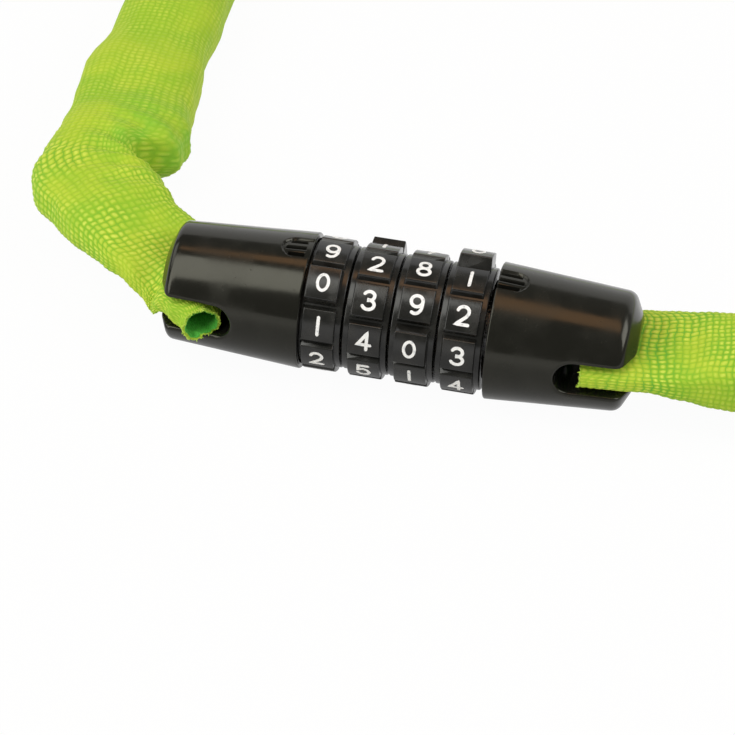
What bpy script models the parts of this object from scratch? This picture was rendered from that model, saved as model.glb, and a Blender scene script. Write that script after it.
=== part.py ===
"""Four-dial combination chain lock, lying closed with its sleeved chain in a loop.

All sizes are in metres.  The barrel lies along X with its middle over the origin, -Y is its front and
the floor is z = 0.  Angles round the barrel start at the front and go up: 90 degrees is the top.
"""

import math

import bmesh
import bpy
from mathutils import Matrix, Vector

# Barrel halves
HOUSING_LENGTH = 0.0272
MOUTH_RADIUS = 0.0129
END_RADIUS = 0.01125
END_BEVEL = 0.0022
END_BEVEL_DEPTH = 0.0045
END_CORNER = 0.0015
MOUTH_CHAMFER = 0.0003
SLOT_DEPTH = 0.0142
SLOT_PLAY = 0.0015
END_WALL = 0.0042
BARREL_SEGMENTS = 36

# Index marks on top of both halves
INDEX_ANGLE = 85.0
INDEX_LENGTH = 0.0056
INDEX_WIDTH = 0.0054
INDEX_DEPTH = 0.0003
INDEX_GROOVES = 3
INDEX_GROOVE_WIDTH = 0.0011
INDEX_GROOVE_DEPTH = 0.0005

# Dials
DIAL_COUNT = 4
DIGITS = 10
DIAL_PITCH = 0.00875
DIAL_WIDTH = 0.0084
DIAL_RIM = 0.0012
DRUM_INSET = 0.0014
BLOCK_HEIGHT = 0.0010
TAB_HEIGHT = 0.0024
BLOCK_HALF_WIDTH = 0.0031
BLOCK_TAPER = 0.0002
BLOCK_CROWN = 0.0003
RIM_TUCK = 0.00055
MOUTH_RECESS = 0.0012
END_GAP = 0.0008
CODE_ANGLE = 83.0
CODE = (9, 2, 8, 1)
DIAL_TURN = (5.0, -2.0, 1.0, -2.0)

# Lock works
CLEARANCE = 0.0003
SEAT_GAP = 0.0001
ROD_RADIUS = 0.0031
ROD_TIP = 0.0002
SPINDLE_WALL = 0.0018
SPINDLE_TAIL = 0.0075
SPINDLE_PLUG = 0.0042
SPINDLE_OVERHANG = 0.0012
LUG_WIDTH = 0.0024
LUG_LENGTH = 0.0025
LUG_REACH = 0.0015
LUG_ANGLE = 90.0
GATE_HALF_ANGLE = 20.0
RING_LENGTH = 0.0054
RING_WALL = 0.0015
RING_SHOULDER = 0.0013
KEY_HEIGHT = 0.0006
KEY_ANGLES = (155.0, 335.0)
KEY_HALF_ANGLE = 1.6
NOTCH_DEPTH = 0.00065
NOTCH_HALF_ANGLE = 11.0
EDGE_ANGLE = 0.6
SPRING_WIDTH = 0.0008
SPRING_THICKNESS = 0.0003
SPRING_BUMP = 0.0018
WASHER_WIDTH = 0.0026
WASHER_THICKNESS = 0.00025
WASHER_WAVE = 0.00005
WASHER_WAVES = 3
CLIP_THICKNESS = 0.0005
CLIP_WIDTH = 0.0028
CLIP_GROOVE = 0.0005
CLIP_OPENING = 24.0
BOLT_ROOT_RADIUS = 0.0050
SCREW_RADIUS = 0.0014
SCREW_HEAD_RADIUS = 0.0026
SCREW_HEAD_HEIGHT = 0.0018
SCREW_LENGTH = 0.0064
SCREW_SOCKET = 0.0012
WORKS_SEGMENTS = 24

# Chain, its pins and the sleeve
LINK_COUNT = 36
LEFT_LINKS = 16
WIRE_DIAMETER = 0.0035
LINK_WIDTH = 0.0115
LINK_PLAY = 0.00045
LINK_LEAN = 45.0
END_LEANS = (0.0, 82.0, 10.0, 76.0, 20.0, 62.0, 35.0, 50.0)
WIRE_SIDES = 5
ARC_STEPS = 4
PIN_RADIUS = 0.0015
PIN_SETBACK = 0.0040
PIN_TOP = 0.0060
PIN_FOOT = 0.0094
FABRIC = 0.0008
SLEEVE_WIDTH = 0.0225
SLEEVE_HEIGHT = 0.0140
SLEEVE_SIDES = 12
SLEEVE_FLATNESS = 3.0
SLEEVE_STEP = 0.024
SLEEVE_END_STEP = 0.005
SLEEVE_END_ZONE = 0.045
SLEEVE_TUCK = 0.0005
FLOOR_GAP = 0.00005

# Route of the sleeve on the floor: its two ends count from the chain pins, the rest from the barrel's middle
SLEEVE_FLOOR = SLEEVE_HEIGHT / 2.0 + FLOOR_GAP
LEFT_ROUTE = (
    (0.0042, -0.0115, 0.0),
    (0.0022, -0.0050, 0.0),
    (0.0, 0.0, 0.0),
    (-0.0096, 0.0099, 0.0),
    (-0.0199, 0.0212, -0.0009),
    (-0.0262, 0.0308, -0.0022),
    (-0.0272, 0.0443, -0.0035),
    (-0.0283, 0.0622, -0.0050),
)
BACK_ROUTE = (
    (-0.0700, 0.0850),
    (-0.0705, 0.1250),
    (-0.0728, 0.1680),
    (-0.0738, 0.2120),
    (-0.0710, 0.2560),
    (-0.0590, 0.2960),
    (-0.0350, 0.3260),
    (-0.0010, 0.3410),
    (0.0270, 0.3420),
    (0.0550, 0.3420),
    (0.0830, 0.3420),
    (0.1060, 0.3400),
    (0.1340, 0.3260),
    (0.1550, 0.2960),
    (0.1670, 0.2560),
    (0.1715, 0.2120),
    (0.1725, 0.1680),
    (0.1710, 0.1260),
    (0.1655, 0.0900),
    (0.1530, 0.0590),
    (0.1340, 0.0350),
)
RIGHT_ROUTE = (
    (0.0700, 0.0155, -0.0050),
    (0.0520, 0.0075, -0.0033),
    (0.0400, 0.0038, -0.0018),
    (0.0280, 0.0016, -0.0006),
    (0.0180, 0.0006, -0.0002),
    (0.0080, 0.0001, 0.0),
    (0.0, 0.0, 0.0),
    (-0.0054, 0.0, 0.0),
)

# Worked out from the sizes above
AXIS_Y = 0.0002
AXIS_Z = MOUTH_RADIUS
MOUTH_X = ((DIAL_COUNT - 1) * DIAL_PITCH + DIAL_WIDTH - RIM_TUCK + END_GAP) / 2.0
END_X = MOUTH_X + HOUSING_LENGTH
PIN_X = END_X - PIN_SETBACK
SLOT_X = END_X - SLOT_DEPTH
SLOT_HEIGHT = WIRE_DIAMETER + 2.0 * FABRIC + SLOT_PLAY
DRUM_RADIUS = MOUTH_RADIUS - DRUM_INSET
FIRST_DIAL_X = -MOUTH_X - RIM_TUCK
LAST_DIAL_END_X = FIRST_DIAL_X + (DIAL_COUNT - 1) * DIAL_PITCH + DIAL_WIDTH
SPINDLE_BORE = ROD_RADIUS + CLEARANCE
SPINDLE_RADIUS = SPINDLE_BORE + SPINDLE_WALL
SPINDLE_START_X = -MOUTH_X - SPINDLE_TAIL
SPINDLE_END_X = LAST_DIAL_END_X + SPINDLE_OVERHANG
RING_BORE = SPINDLE_RADIUS + CLEARANCE
LUG_RADIUS = SPINDLE_RADIUS + LUG_REACH
LUG_CORNER = math.hypot(LUG_RADIUS, LUG_WIDTH / 2.0)
GATE_RADIUS = LUG_CORNER + CLEARANCE
RING_RADIUS = GATE_RADIUS + RING_WALL
DIAL_BORE = RING_RADIUS + CLEARANCE
KEY_RADIUS = RING_RADIUS + KEY_HEIGHT
RING_OFFSET = RING_SHOULDER + CLEARANCE
LUG_OFFSET = (RING_OFFSET + RING_OFFSET + RING_LENGTH - DIAL_PITCH) / 2.0
ROD_START_X = FIRST_DIAL_X + LUG_OFFSET - LUG_LENGTH / 2.0 - ROD_TIP
BOLT_TRAVEL = SPINDLE_END_X - ROD_START_X + CLEARANCE
LINK_ARC = (LINK_WIDTH - WIRE_DIAMETER) / 2.0
SLEEVE_SLOT_HEIGHT = SLOT_HEIGHT - 2.0 * CLEARANCE


def around(angle, radius):
    """Return the (y, z) place at an angle in degrees round the barrel's axis."""
    turn = math.radians(angle)
    return -radius * math.cos(turn), radius * math.sin(turn)


def clear_scene():
    """Remove every object that the scene starts with."""
    for item in list(bpy.data.objects):
        bpy.data.objects.remove(item, do_unlink=True)


def make_material(name, colour, roughness, metallic):
    """Return a Principled material."""
    material = bpy.data.materials.new(name)
    material.use_nodes = True
    shader = material.node_tree.nodes["Principled BSDF"]
    shader.inputs["Base Color"].default_value = (*colour, 1.0)
    shader.inputs["Roughness"].default_value = roughness
    shader.inputs["Metallic"].default_value = metallic
    return material


def make_empty(name, location):
    """Return an empty that carries the pieces of one moving group."""
    empty = bpy.data.objects.new(name, None)
    empty.location = location
    bpy.context.scene.collection.objects.link(empty)
    return empty


def make_object(name, bm):
    """Return a new object holding the bmesh, with its faces turned outwards."""
    bmesh.ops.recalc_face_normals(bm, faces=bm.faces)
    mesh = bpy.data.meshes.new(name)
    bm.to_mesh(mesh)
    bm.free()
    piece = bpy.data.objects.new(name, mesh)
    bpy.context.scene.collection.objects.link(piece)
    return piece


def finish(piece, material, parent, sharp_angle=35.0):
    """Give a piece its material, its parent and smooth shading between sharp edges."""
    piece.data.materials.clear()
    piece.data.materials.append(material)
    piece.data.shade_smooth()
    piece.data.set_sharp_from_angle(angle=math.radians(sharp_angle))
    piece.parent = parent
    return piece


def combine(target, tool, operation):
    """Apply a Boolean of the tool to the target and remove the tool."""
    modifier = target.modifiers.new("combine", "BOOLEAN")
    modifier.operation = operation
    modifier.solver = "EXACT"
    modifier.object = tool
    depsgraph = bpy.context.evaluated_depsgraph_get()
    mesh = bpy.data.meshes.new_from_object(target.evaluated_get(depsgraph))
    target.modifiers.clear()
    target.data = mesh
    bpy.data.objects.remove(tool, do_unlink=True)


def turned(name, profile, segments):
    """Return a solid turned about X from (x, radius) points, the first and last of them on the axis."""
    bm = bmesh.new()
    verts = [bm.verts.new((x, 0.0, radius)) for x, radius in profile]
    edges = [bm.edges.new(pair) for pair in zip(verts, verts[1:])]
    bmesh.ops.spin(
        bm, geom=verts + edges, axis=(1.0, 0.0, 0.0), cent=(0.0, 0.0, 0.0),
        angle=math.tau, steps=segments, use_merge=True,
    )
    bmesh.ops.remove_doubles(bm, verts=bm.verts, dist=1e-7)
    return make_object(name, bm)


def stacked(name, loops, closed):
    """Return a solid whose skin joins equal loops of points; a closed stack joins the last to the first."""
    bm = bmesh.new()
    rows = [[bm.verts.new(point) for point in loop] for loop in loops]
    pairs = list(zip(rows, rows[1:]))
    if closed:
        pairs.append((rows[-1], rows[0]))
    else:
        bm.faces.new(rows[0])
        bm.faces.new(rows[-1])
    for lower, upper in pairs:
        for i in range(len(lower)):
            j = (i + 1) % len(lower)
            bm.faces.new((lower[i], lower[j], upper[j], upper[i]))
    bmesh.ops.remove_doubles(bm, verts=bm.verts, dist=1e-7)
    bmesh.ops.dissolve_degenerate(bm, edges=bm.edges, dist=1e-8)
    return make_object(name, bm)


def prism(name, outline, lift):
    """Return the solid swept by a flat outline of points along the lift vector."""
    bm = bmesh.new()
    face = bm.faces.new([bm.verts.new(point) for point in outline])
    grown = bmesh.ops.extrude_face_region(bm, geom=[face])
    verts = [item for item in grown["geom"] if isinstance(item, bmesh.types.BMVert)]
    bmesh.ops.translate(bm, verts=verts, vec=lift)
    return make_object(name, bm)


def box(name, low, high):
    """Return a box between two corners."""
    (x0, y0, z0), (x1, y1, z1) = low, high
    outline = ((x0, y0, z0), (x1, y0, z0), (x1, y1, z0), (x0, y1, z0))
    return prism(name, outline, (0.0, 0.0, z1 - z0))


def post(name, x, bottom, top, radius, segments):
    """Return an upright cylinder."""
    outline = []
    for i in range(segments):
        turn = math.tau * i / segments
        outline.append((x + radius * math.cos(turn), radius * math.sin(turn), bottom))
    return prism(name, outline, (0.0, 0.0, top - bottom))


def bar(name, start, end, radius, segments):
    """Return a cylinder along X."""
    profile = ((start, 0.0), (start, radius), (end, radius), (end, 0.0))
    return turned(name, profile, segments)


def housing_profile(side):
    """Return one barrel half's outline, from the middle of its mouth to the middle of its end."""
    corner_steps = 3
    mouth = Vector((MOUTH_CHAMFER, MOUTH_RADIUS))
    corner = Vector((HOUSING_LENGTH - END_BEVEL, END_RADIUS))
    rim = Vector((HOUSING_LENGTH, END_RADIUS - END_BEVEL_DEPTH))
    before = corner + END_CORNER * (mouth - corner).normalized()
    after = corner + END_CORNER * (rim - corner).normalized()
    points = [Vector((0.0, 0.0)), Vector((0.0, MOUTH_RADIUS - MOUTH_CHAMFER)), mouth]
    for i in range(corner_steps + 1):
        share = i / corner_steps
        points.append(before.lerp(corner, share).lerp(corner.lerp(after, share), share))
    points += [rim, Vector((HOUSING_LENGTH, 0.0))]
    return [(side * (MOUTH_X + along), radius) for along, radius in points]


def slot_cutter(side):
    """Return the cutter of the sleeve's slot: open at the end, front and back, round at its bottom."""
    half = SLOT_HEIGHT / 2.0
    reach = END_X + END_BEVEL
    steps = 8
    outline = [(side * reach, -MOUTH_RADIUS, -half)]
    for i in range(steps + 1):
        turn = math.pi * i / steps
        x = SLOT_X + half - half * math.sin(turn)
        outline.append((side * x, -MOUTH_RADIUS, -half * math.cos(turn)))
    outline.append((side * reach, -MOUTH_RADIUS, half))
    return prism("slot", outline, (0.0, 2.0 * MOUTH_RADIUS, 0.0))


def bore_cutter(side, steps):
    """Return the stepped cutter along the axis; steps are (x, radius) pairs, each up to its x."""
    profile = [(side * (MOUTH_X - MOUTH_RECESS), 0.0)]
    start = MOUTH_X - MOUTH_RECESS
    for end, radius in steps:
        profile.append((side * start, radius))
        profile.append((side * end, radius))
        start = end
    profile.append((side * start, 0.0))
    return turned("bore", profile, WORKS_SEGMENTS)


def index_outline(side, offset, width, length):
    """Return the outline of a groove that starts at the mouth and has a round outer end."""
    steps = 4
    half = width / 2.0
    points = [(side * (MOUTH_X - CLEARANCE), offset - half, 0.0)]
    for i in range(steps + 1):
        turn = math.pi * i / steps - math.pi / 2.0
        x = MOUTH_X + length - half + half * math.cos(turn)
        points.append((side * x, offset + half * math.sin(turn), 0.0))
    points.append((side * (MOUTH_X - CLEARANCE), offset + half, 0.0))
    return points


def index_cutters(side):
    """Return the cutters of one index mark: a shallow pocket and the grooves along its floor."""
    pitch = INDEX_WIDTH / INDEX_GROOVES
    marks = [(0.0, INDEX_WIDTH, INDEX_LENGTH, INDEX_DEPTH)]
    for i in range(INDEX_GROOVES):
        offset = (i - (INDEX_GROOVES - 1) / 2.0) * pitch
        length = INDEX_LENGTH - INDEX_GROOVE_WIDTH / 2.0
        marks.append((offset, INDEX_GROOVE_WIDTH, length, INDEX_DEPTH + INDEX_GROOVE_DEPTH))
    cutters = []
    for offset, width, length, depth in marks:
        cutter = prism("index", index_outline(side, offset, width, length), (0.0, 0.0, MOUTH_RADIUS))
        floor = Matrix.Translation((0.0, 0.0, MOUTH_RADIUS - depth))
        turn = Matrix.Rotation(math.radians(90.0 - INDEX_ANGLE), 4, "X")
        cutter.data.transform(turn @ floor)
        cutters.append(cutter)
    return cutters


def housing(name, side, bore_steps):
    """Return one barrel half with its slot, bore, pin hole and index mark."""
    piece = turned(name, housing_profile(side), BARREL_SEGMENTS)
    pin_hole = post(
        "pin_hole", side * PIN_X, -MOUTH_RADIUS, PIN_TOP + CLEARANCE,
        PIN_RADIUS + SEAT_GAP, WORKS_SEGMENTS // 2,
    )
    cutters = [bore_cutter(side, bore_steps), slot_cutter(side), pin_hole, *index_cutters(side)]
    for cutter in cutters:
        combine(piece, cutter, "DIFFERENCE")
    return piece


def screw_room(seat_x):
    """Return the bore steps of an axis screw: its shank's hole and its head's room, open to the slot."""
    head_x = seat_x + END_WALL / 2.0
    return [
        (head_x, SCREW_RADIUS + CLEARANCE),
        (SLOT_X + SLOT_HEIGHT / 2.0, SCREW_HEAD_RADIUS + CLEARANCE),
    ]


def left_bore():
    """Return the left half's bore: dial rim, lug room, spindle seat and screw."""
    seat_x = -SPINDLE_START_X + SEAT_GAP
    lug_room_x = -ROD_START_X + CLEARANCE
    return [
        (MOUTH_X + MOUTH_RECESS, DRUM_RADIUS + CLEARANCE + SEAT_GAP),
        (lug_room_x, GATE_RADIUS),
        (seat_x, SPINDLE_RADIUS + SEAT_GAP),
        *screw_room(seat_x),
    ]


def bolt_root_start():
    """Return where the bolt's thick root begins, clear of the spindle's end."""
    return SPINDLE_END_X + LUG_LENGTH / 2.0


def right_bore():
    """Return the right half's bore: room for the spindle's end and clip, seat of the bolt, and screw."""
    seat_x = SLOT_X - END_WALL
    clip_room = SPINDLE_RADIUS - CLIP_GROOVE + CLIP_WIDTH + CLEARANCE
    return [
        (bolt_root_start(), clip_room),
        (seat_x, BOLT_ROOT_RADIUS + SEAT_GAP),
        *screw_room(seat_x),
    ]


def spindle():
    """Return the tube the dials turn on, slotted for the lugs and grooved for spring and clip."""
    clip_x = LAST_DIAL_END_X + CLEARANCE
    clip_end_x = clip_x + CLIP_THICKNESS + SEAT_GAP
    groove_radius = SPINDLE_RADIUS - CLIP_GROOVE
    bore_x = SPINDLE_START_X + SPINDLE_PLUG
    tap = SCREW_RADIUS + SEAT_GAP
    tap_end_x = bore_x - CLEARANCE
    profile = (
        (tap_end_x, 0.0),
        (tap_end_x, tap),
        (SPINDLE_START_X, tap),
        (SPINDLE_START_X, SPINDLE_RADIUS),
        (clip_x - SEAT_GAP, SPINDLE_RADIUS),
        (clip_x - SEAT_GAP, groove_radius),
        (clip_end_x, groove_radius),
        (clip_end_x, SPINDLE_RADIUS),
        (SPINDLE_END_X, SPINDLE_RADIUS),
        (SPINDLE_END_X, SPINDLE_BORE),
        (bore_x, SPINDLE_BORE),
        (bore_x, 0.0),
    )
    piece = turned("spindle", profile, WORKS_SEGMENTS)
    half_slot = LUG_WIDTH / 2.0 + CLEARANCE
    slot = box(
        "lug_slot",
        (ROD_START_X, -half_slot, SPINDLE_BORE / 2.0),
        (SPINDLE_END_X + CLEARANCE, half_slot, 2.0 * SPINDLE_RADIUS),
    )
    half_groove = SPRING_WIDTH / 2.0 + CLEARANCE
    groove = box(
        "spring_groove",
        (-MOUTH_X - CLEARANCE, -half_groove, -2.0 * SPINDLE_RADIUS),
        (spring_end() + CLEARANCE, half_groove, -spring_floor()),
    )
    combine(piece, slot, "DIFFERENCE")
    combine(piece, groove, "DIFFERENCE")
    return piece


def spring_floor():
    """Return how far the spring groove's floor lies from the axis."""
    return SPINDLE_BORE + SPINDLE_WALL / 2.0


def spring_end():
    """Return where the click spring ends, behind the last code ring."""
    return LAST_DIAL_END_X - CLIP_THICKNESS


def ring_middle(index):
    """Return the middle of a code ring along X."""
    return FIRST_DIAL_X + index * DIAL_PITCH + RING_OFFSET + RING_LENGTH / 2.0


def click_spring():
    """Return the leaf strip under the spindle, with one bump for each code ring."""
    rest = -spring_floor() - SEAT_GAP
    crest = -RING_BORE - NOTCH_DEPTH / 2.0 + SPRING_THICKNESS
    inner = [(-MOUTH_X, rest)]
    for index in range(DIAL_COUNT):
        middle = ring_middle(index)
        inner.append((middle - SPRING_BUMP, rest))
        inner.append((middle - SPRING_BUMP / 4.0, crest))
        inner.append((middle + SPRING_BUMP / 4.0, crest))
        inner.append((middle + SPRING_BUMP, rest))
    inner.append((spring_end(), rest))
    outer = [(x, z - SPRING_THICKNESS) for x, z in reversed(inner)]
    outline = [(x, -SPRING_WIDTH / 2.0, z) for x, z in inner + outer]
    return prism("click_spring", outline, (0.0, SPRING_WIDTH, 0.0))


def wave_washer():
    """Return the waved washer between the left half and the first dial."""
    inner = GATE_RADIUS + CLEARANCE
    outer = inner + WASHER_WIDTH
    middle = FIRST_DIAL_X - (MOUTH_RECESS - RIM_TUCK) / 2.0
    loops = []
    for along, radius in ((-0.5, inner), (0.5, inner), (0.5, outer), (-0.5, outer)):
        loop = []
        for i in range(BARREL_SEGMENTS):
            angle = 360.0 * i / BARREL_SEGMENTS
            wave = WASHER_WAVE * math.cos(WASHER_WAVES * math.radians(angle))
            loop.append((middle + along * WASHER_THICKNESS + wave, *around(angle, radius)))
        loops.append(loop)
    return stacked("wave_washer", loops, closed=True)


def retaining_ring():
    """Return the open clip at the spindle's end; its gap faces the lugs."""
    inner = SPINDLE_RADIUS - CLIP_GROOVE + SEAT_GAP
    outer = inner + CLIP_WIDTH - CLEARANCE
    start = LAST_DIAL_END_X + CLEARANCE
    steps = 18
    sweep = 360.0 - 2.0 * CLIP_OPENING
    angles = [LUG_ANGLE + CLIP_OPENING + sweep * i / steps for i in range(steps + 1)]
    outline = [(start, *around(angle, inner)) for angle in angles]
    outline += [(start, *around(angle, outer)) for angle in reversed(angles)]
    return prism("retaining_ring", outline, (CLIP_THICKNESS, 0.0, 0.0))


def digit_angles(index):
    """Return the angle of every digit's block on one dial, nought first."""
    shown = CODE_ANGLE + DIAL_TURN[index]
    pitch = 360.0 / DIGITS
    return [shown - pitch * (digit - CODE[index]) for digit in range(DIGITS)]


def dial_loops(index):
    """Return the loops of points round one dial: its drum, its blocks and its keyed bore."""
    drum, blocks, bore, shoulder = [], [], [], []
    key_groove = KEY_RADIUS + CLEARANCE
    for digit, middle in enumerate(digit_angles(index)):
        height = DRUM_RADIUS + (TAB_HEIGHT if digit == 0 else BLOCK_HEIGHT)
        edge = height - BLOCK_CROWN
        top = math.degrees(math.atan2(BLOCK_HALF_WIDTH, edge))
        foot = math.degrees(math.asin((BLOCK_HALF_WIDTH + BLOCK_TAPER) / DRUM_RADIUS))
        corner = math.hypot(edge, BLOCK_HALF_WIDTH)
        for offset, block_radius, bore_radius in (
            (foot, DRUM_RADIUS, key_groove),
            (top, corner, DIAL_BORE),
            (0.0, height, DIAL_BORE),
            (-top, corner, DIAL_BORE),
            (-foot, DRUM_RADIUS, key_groove),
        ):
            angle = middle + offset
            drum.append(around(angle, DRUM_RADIUS))
            blocks.append(around(angle, block_radius))
            bore.append(around(angle, bore_radius))
            shoulder.append(around(angle, GATE_RADIUS + CLEARANCE))
    return drum, blocks, bore, shoulder


def dial(index):
    """Return one number dial, standing at the middle of its width on the barrel's axis."""
    drum, blocks, bore, shoulder = dial_loops(index)
    half = DIAL_WIDTH / 2.0
    rows = (
        (-half, shoulder),
        (-half, drum),
        (-half + DIAL_RIM, drum),
        (-half + DIAL_RIM, blocks),
        (half - DIAL_RIM, blocks),
        (half - DIAL_RIM, drum),
        (half, drum),
        (half, bore),
        (-half + RING_SHOULDER, bore),
        (-half + RING_SHOULDER, shoulder),
    )
    loops = [[(x, y, z) for y, z in loop] for x, loop in rows]
    return stacked(f"dial_{index + 1}", loops, closed=True)


def apart(angle, other):
    """Return how far two angles in degrees are apart."""
    return abs((angle - other + 180.0) % 360.0 - 180.0)


def code_ring(index):
    """Return one code ring: gate for the lug, notches for the clicks, keys for its dial."""
    pitch = 360.0 / DIGITS
    notches = [pitch * i for i in range(1, DIGITS)]
    edges = [(0.0, GATE_HALF_ANGLE)]
    edges += [(notch, NOTCH_HALF_ANGLE) for notch in notches]
    edges += [(key, KEY_HALF_ANGLE) for key in KEY_ANGLES]
    angles = [0.0]
    for middle, half in edges:
        for offset in (-half - EDGE_ANGLE, -half, half, half + EDGE_ANGLE):
            angles.append((middle + offset) % 360.0)
    tolerance = EDGE_ANGLE / 2.0
    inner, outer = [], []
    for angle in sorted(angles):
        bore = RING_BORE
        if any(apart(angle, notch) < NOTCH_HALF_ANGLE + tolerance for notch in notches):
            bore = RING_BORE + NOTCH_DEPTH
        if apart(angle, 0.0) < GATE_HALF_ANGLE + tolerance:
            bore = GATE_RADIUS
        keyed = any(apart(angle, key) < KEY_HALF_ANGLE + tolerance for key in KEY_ANGLES)
        world = LUG_ANGLE + DIAL_TURN[index] + angle
        inner.append(around(world, bore))
        outer.append(around(world, KEY_RADIUS if keyed else RING_RADIUS))
    half = RING_LENGTH / 2.0
    rows = ((-half, inner), (-half, outer), (half, outer), (half, inner))
    loops = [[(x, y, z) for y, z in loop] for x, loop in rows]
    return stacked(f"code_ring_{index + 1}", loops, closed=True)


def bolt():
    """Return the bolt: rod, root and one lug in front of each code ring."""
    root_x = bolt_root_start() + CLEARANCE
    end_x = SLOT_X - END_WALL - SEAT_GAP
    tap = SCREW_RADIUS + SEAT_GAP
    tap_start_x = end_x - SCREW_LENGTH + END_WALL / 2.0 - CLEARANCE
    profile = (
        (ROD_START_X, 0.0),
        (ROD_START_X, ROD_RADIUS),
        (root_x, ROD_RADIUS),
        (root_x, BOLT_ROOT_RADIUS),
        (end_x, BOLT_ROOT_RADIUS),
        (end_x, tap),
        (tap_start_x, tap),
        (tap_start_x, 0.0),
    )
    piece = turned("bolt", profile, WORKS_SEGMENTS)
    for index in range(DIAL_COUNT):
        middle = FIRST_DIAL_X + index * DIAL_PITCH + LUG_OFFSET
        lug = box(
            "lug",
            (middle - LUG_LENGTH / 2.0, -LUG_WIDTH / 2.0, ROD_RADIUS / 2.0),
            (middle + LUG_LENGTH / 2.0, LUG_WIDTH / 2.0, LUG_RADIUS),
        )
        combine(piece, lug, "UNION")
    return piece


def axis_screw(name, side, seat_x):
    """Return a socket screw on the axis whose head rests on the end wall inside the slot."""
    head_x = seat_x + END_WALL / 2.0 + SEAT_GAP
    top_x = head_x + SCREW_HEAD_HEIGHT
    tip_x = head_x - SCREW_LENGTH + CLEARANCE
    profile = (
        (tip_x, 0.0),
        (tip_x, SCREW_RADIUS),
        (head_x, SCREW_RADIUS),
        (head_x, SCREW_HEAD_RADIUS),
        (top_x, SCREW_HEAD_RADIUS),
        (top_x, 0.0),
    )
    piece = turned(name, [(side * x, radius) for x, radius in profile], WORKS_SEGMENTS // 2)
    socket = bar("socket", side * (top_x - SCREW_SOCKET), side * (top_x + SCREW_SOCKET), SCREW_RADIUS, 6)
    combine(piece, socket, "DIFFERENCE")
    return piece


def smooth_route(points, step):
    """Return evenly spaced points of a smooth curve through the given points."""
    padded = [2.0 * points[0] - points[1], *points, 2.0 * points[-1] - points[-2]]
    fine = []
    pieces = 24
    for i in range(1, len(padded) - 2):
        before, start, end, after = padded[i - 1:i + 3]
        for k in range(pieces):
            t = k / pieces
            bend = 2.0 * before - 5.0 * start + 4.0 * end - after
            twist = 3.0 * start - before - 3.0 * end + after
            fine.append(0.5 * (2.0 * start + t * (end - before) + t * t * bend + t ** 3 * twist))
    fine.append(points[-1].copy())
    spaced = [fine[0]]
    walked = 0.0
    for start, end in zip(fine, fine[1:]):
        span = (end - start).length
        while walked + span >= step * len(spaced):
            share = (step * len(spaced) - walked) / span
            spaced.append(start.lerp(end, share))
        walked += span
    spaced.append(fine[-1])
    return spaced


def sleeve_route():
    """Return the route's chosen points in the frame of the barrel's axis, left cut end first."""
    drop = SLEEVE_FLOOR - AXIS_Z
    points = [Vector((x - PIN_X, y, z)) for x, y, z in LEFT_ROUTE]
    points += [Vector((x, y, drop)) for x, y in BACK_ROUTE]
    points += [Vector((x + PIN_X, y, z)) for x, y, z in RIGHT_ROUTE]
    return points


class Route:
    """The sleeve's smooth centre line, walked by its length."""

    STEP = 0.0001

    def __init__(self):
        """Lay the line out and find the two pins on it."""
        self.points = smooth_route(sleeve_route(), self.STEP)
        self.left_pin = self.nearest(Vector((-PIN_X, 0.0, 0.0)))
        self.right_pin = self.nearest(Vector((PIN_X, 0.0, 0.0)))
        self.length = self.STEP * (len(self.points) - 1)

    def nearest(self, place):
        """Return the index of the point closest to a place."""
        return min(range(len(self.points)), key=lambda i: (self.points[i] - place).length)

    def tangent(self, index):
        """Return the direction of the line at a point."""
        low = max(index - 2, 0)
        high = min(index + 2, len(self.points) - 1)
        return (self.points[high] - self.points[low]).normalized()

    def joints(self, start, direction, pitch, count):
        """Return chain joints spaced a pitch apart, walking from a pin; the first lies behind the pin."""
        behind = PIN_RADIUS + CLEARANCE - LINK_PLAY
        pin = self.points[start]
        index = self.step_away(start, direction, pin, pitch - behind)
        heading = (self.points[index] - pin).normalized()
        places = [pin - behind * heading, self.points[index]]
        for _ in range(count - 1):
            index = self.step_away(index, direction, places[-1], pitch)
            places.append(self.points[index])
        return places

    def step_away(self, index, direction, place, distance):
        """Return the first index, walking on from one, that lies a distance away from a place."""
        while (self.points[index] - place).length < distance:
            index += direction
        return index


def chain_joints(route, pitch):
    """Return the joints of the left run, of the loose pair at the back and of the right run."""
    left = route.joints(route.left_pin, 1, pitch, LEFT_LINKS)
    right = route.joints(route.right_pin, -1, pitch, LINK_COUNT - 2 - LEFT_LINKS)[::-1]
    middle = (left[-1] + right[0]) / 2.0
    step = Vector((pitch, 0.0, 0.0))
    return left, [middle - step, middle, middle + step], right


def fit_pitch(route):
    """Return the pitch at which the loose pair has the bolt's travel to give, half at each end."""
    low = route.length / (LINK_COUNT + 2)
    high = route.length / (LINK_COUNT - 4)
    wanted = BOLT_TRAVEL / 2.0
    for _ in range(30):
        pitch = (low + high) / 2.0
        left, loose, _right = chain_joints(route, pitch)
        if left[-1].x - loose[0].x < wanted:
            low = pitch
        else:
            high = pitch
    return pitch


def link_lean(number):
    """Return how far a link's plane leans round its own length, in degrees."""
    from_end = min(number, LINK_COUNT - 1 - number)
    lean = END_LEANS[from_end] if from_end < len(END_LEANS) else LINK_LEAN
    return lean if number % 2 else -lean


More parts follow.
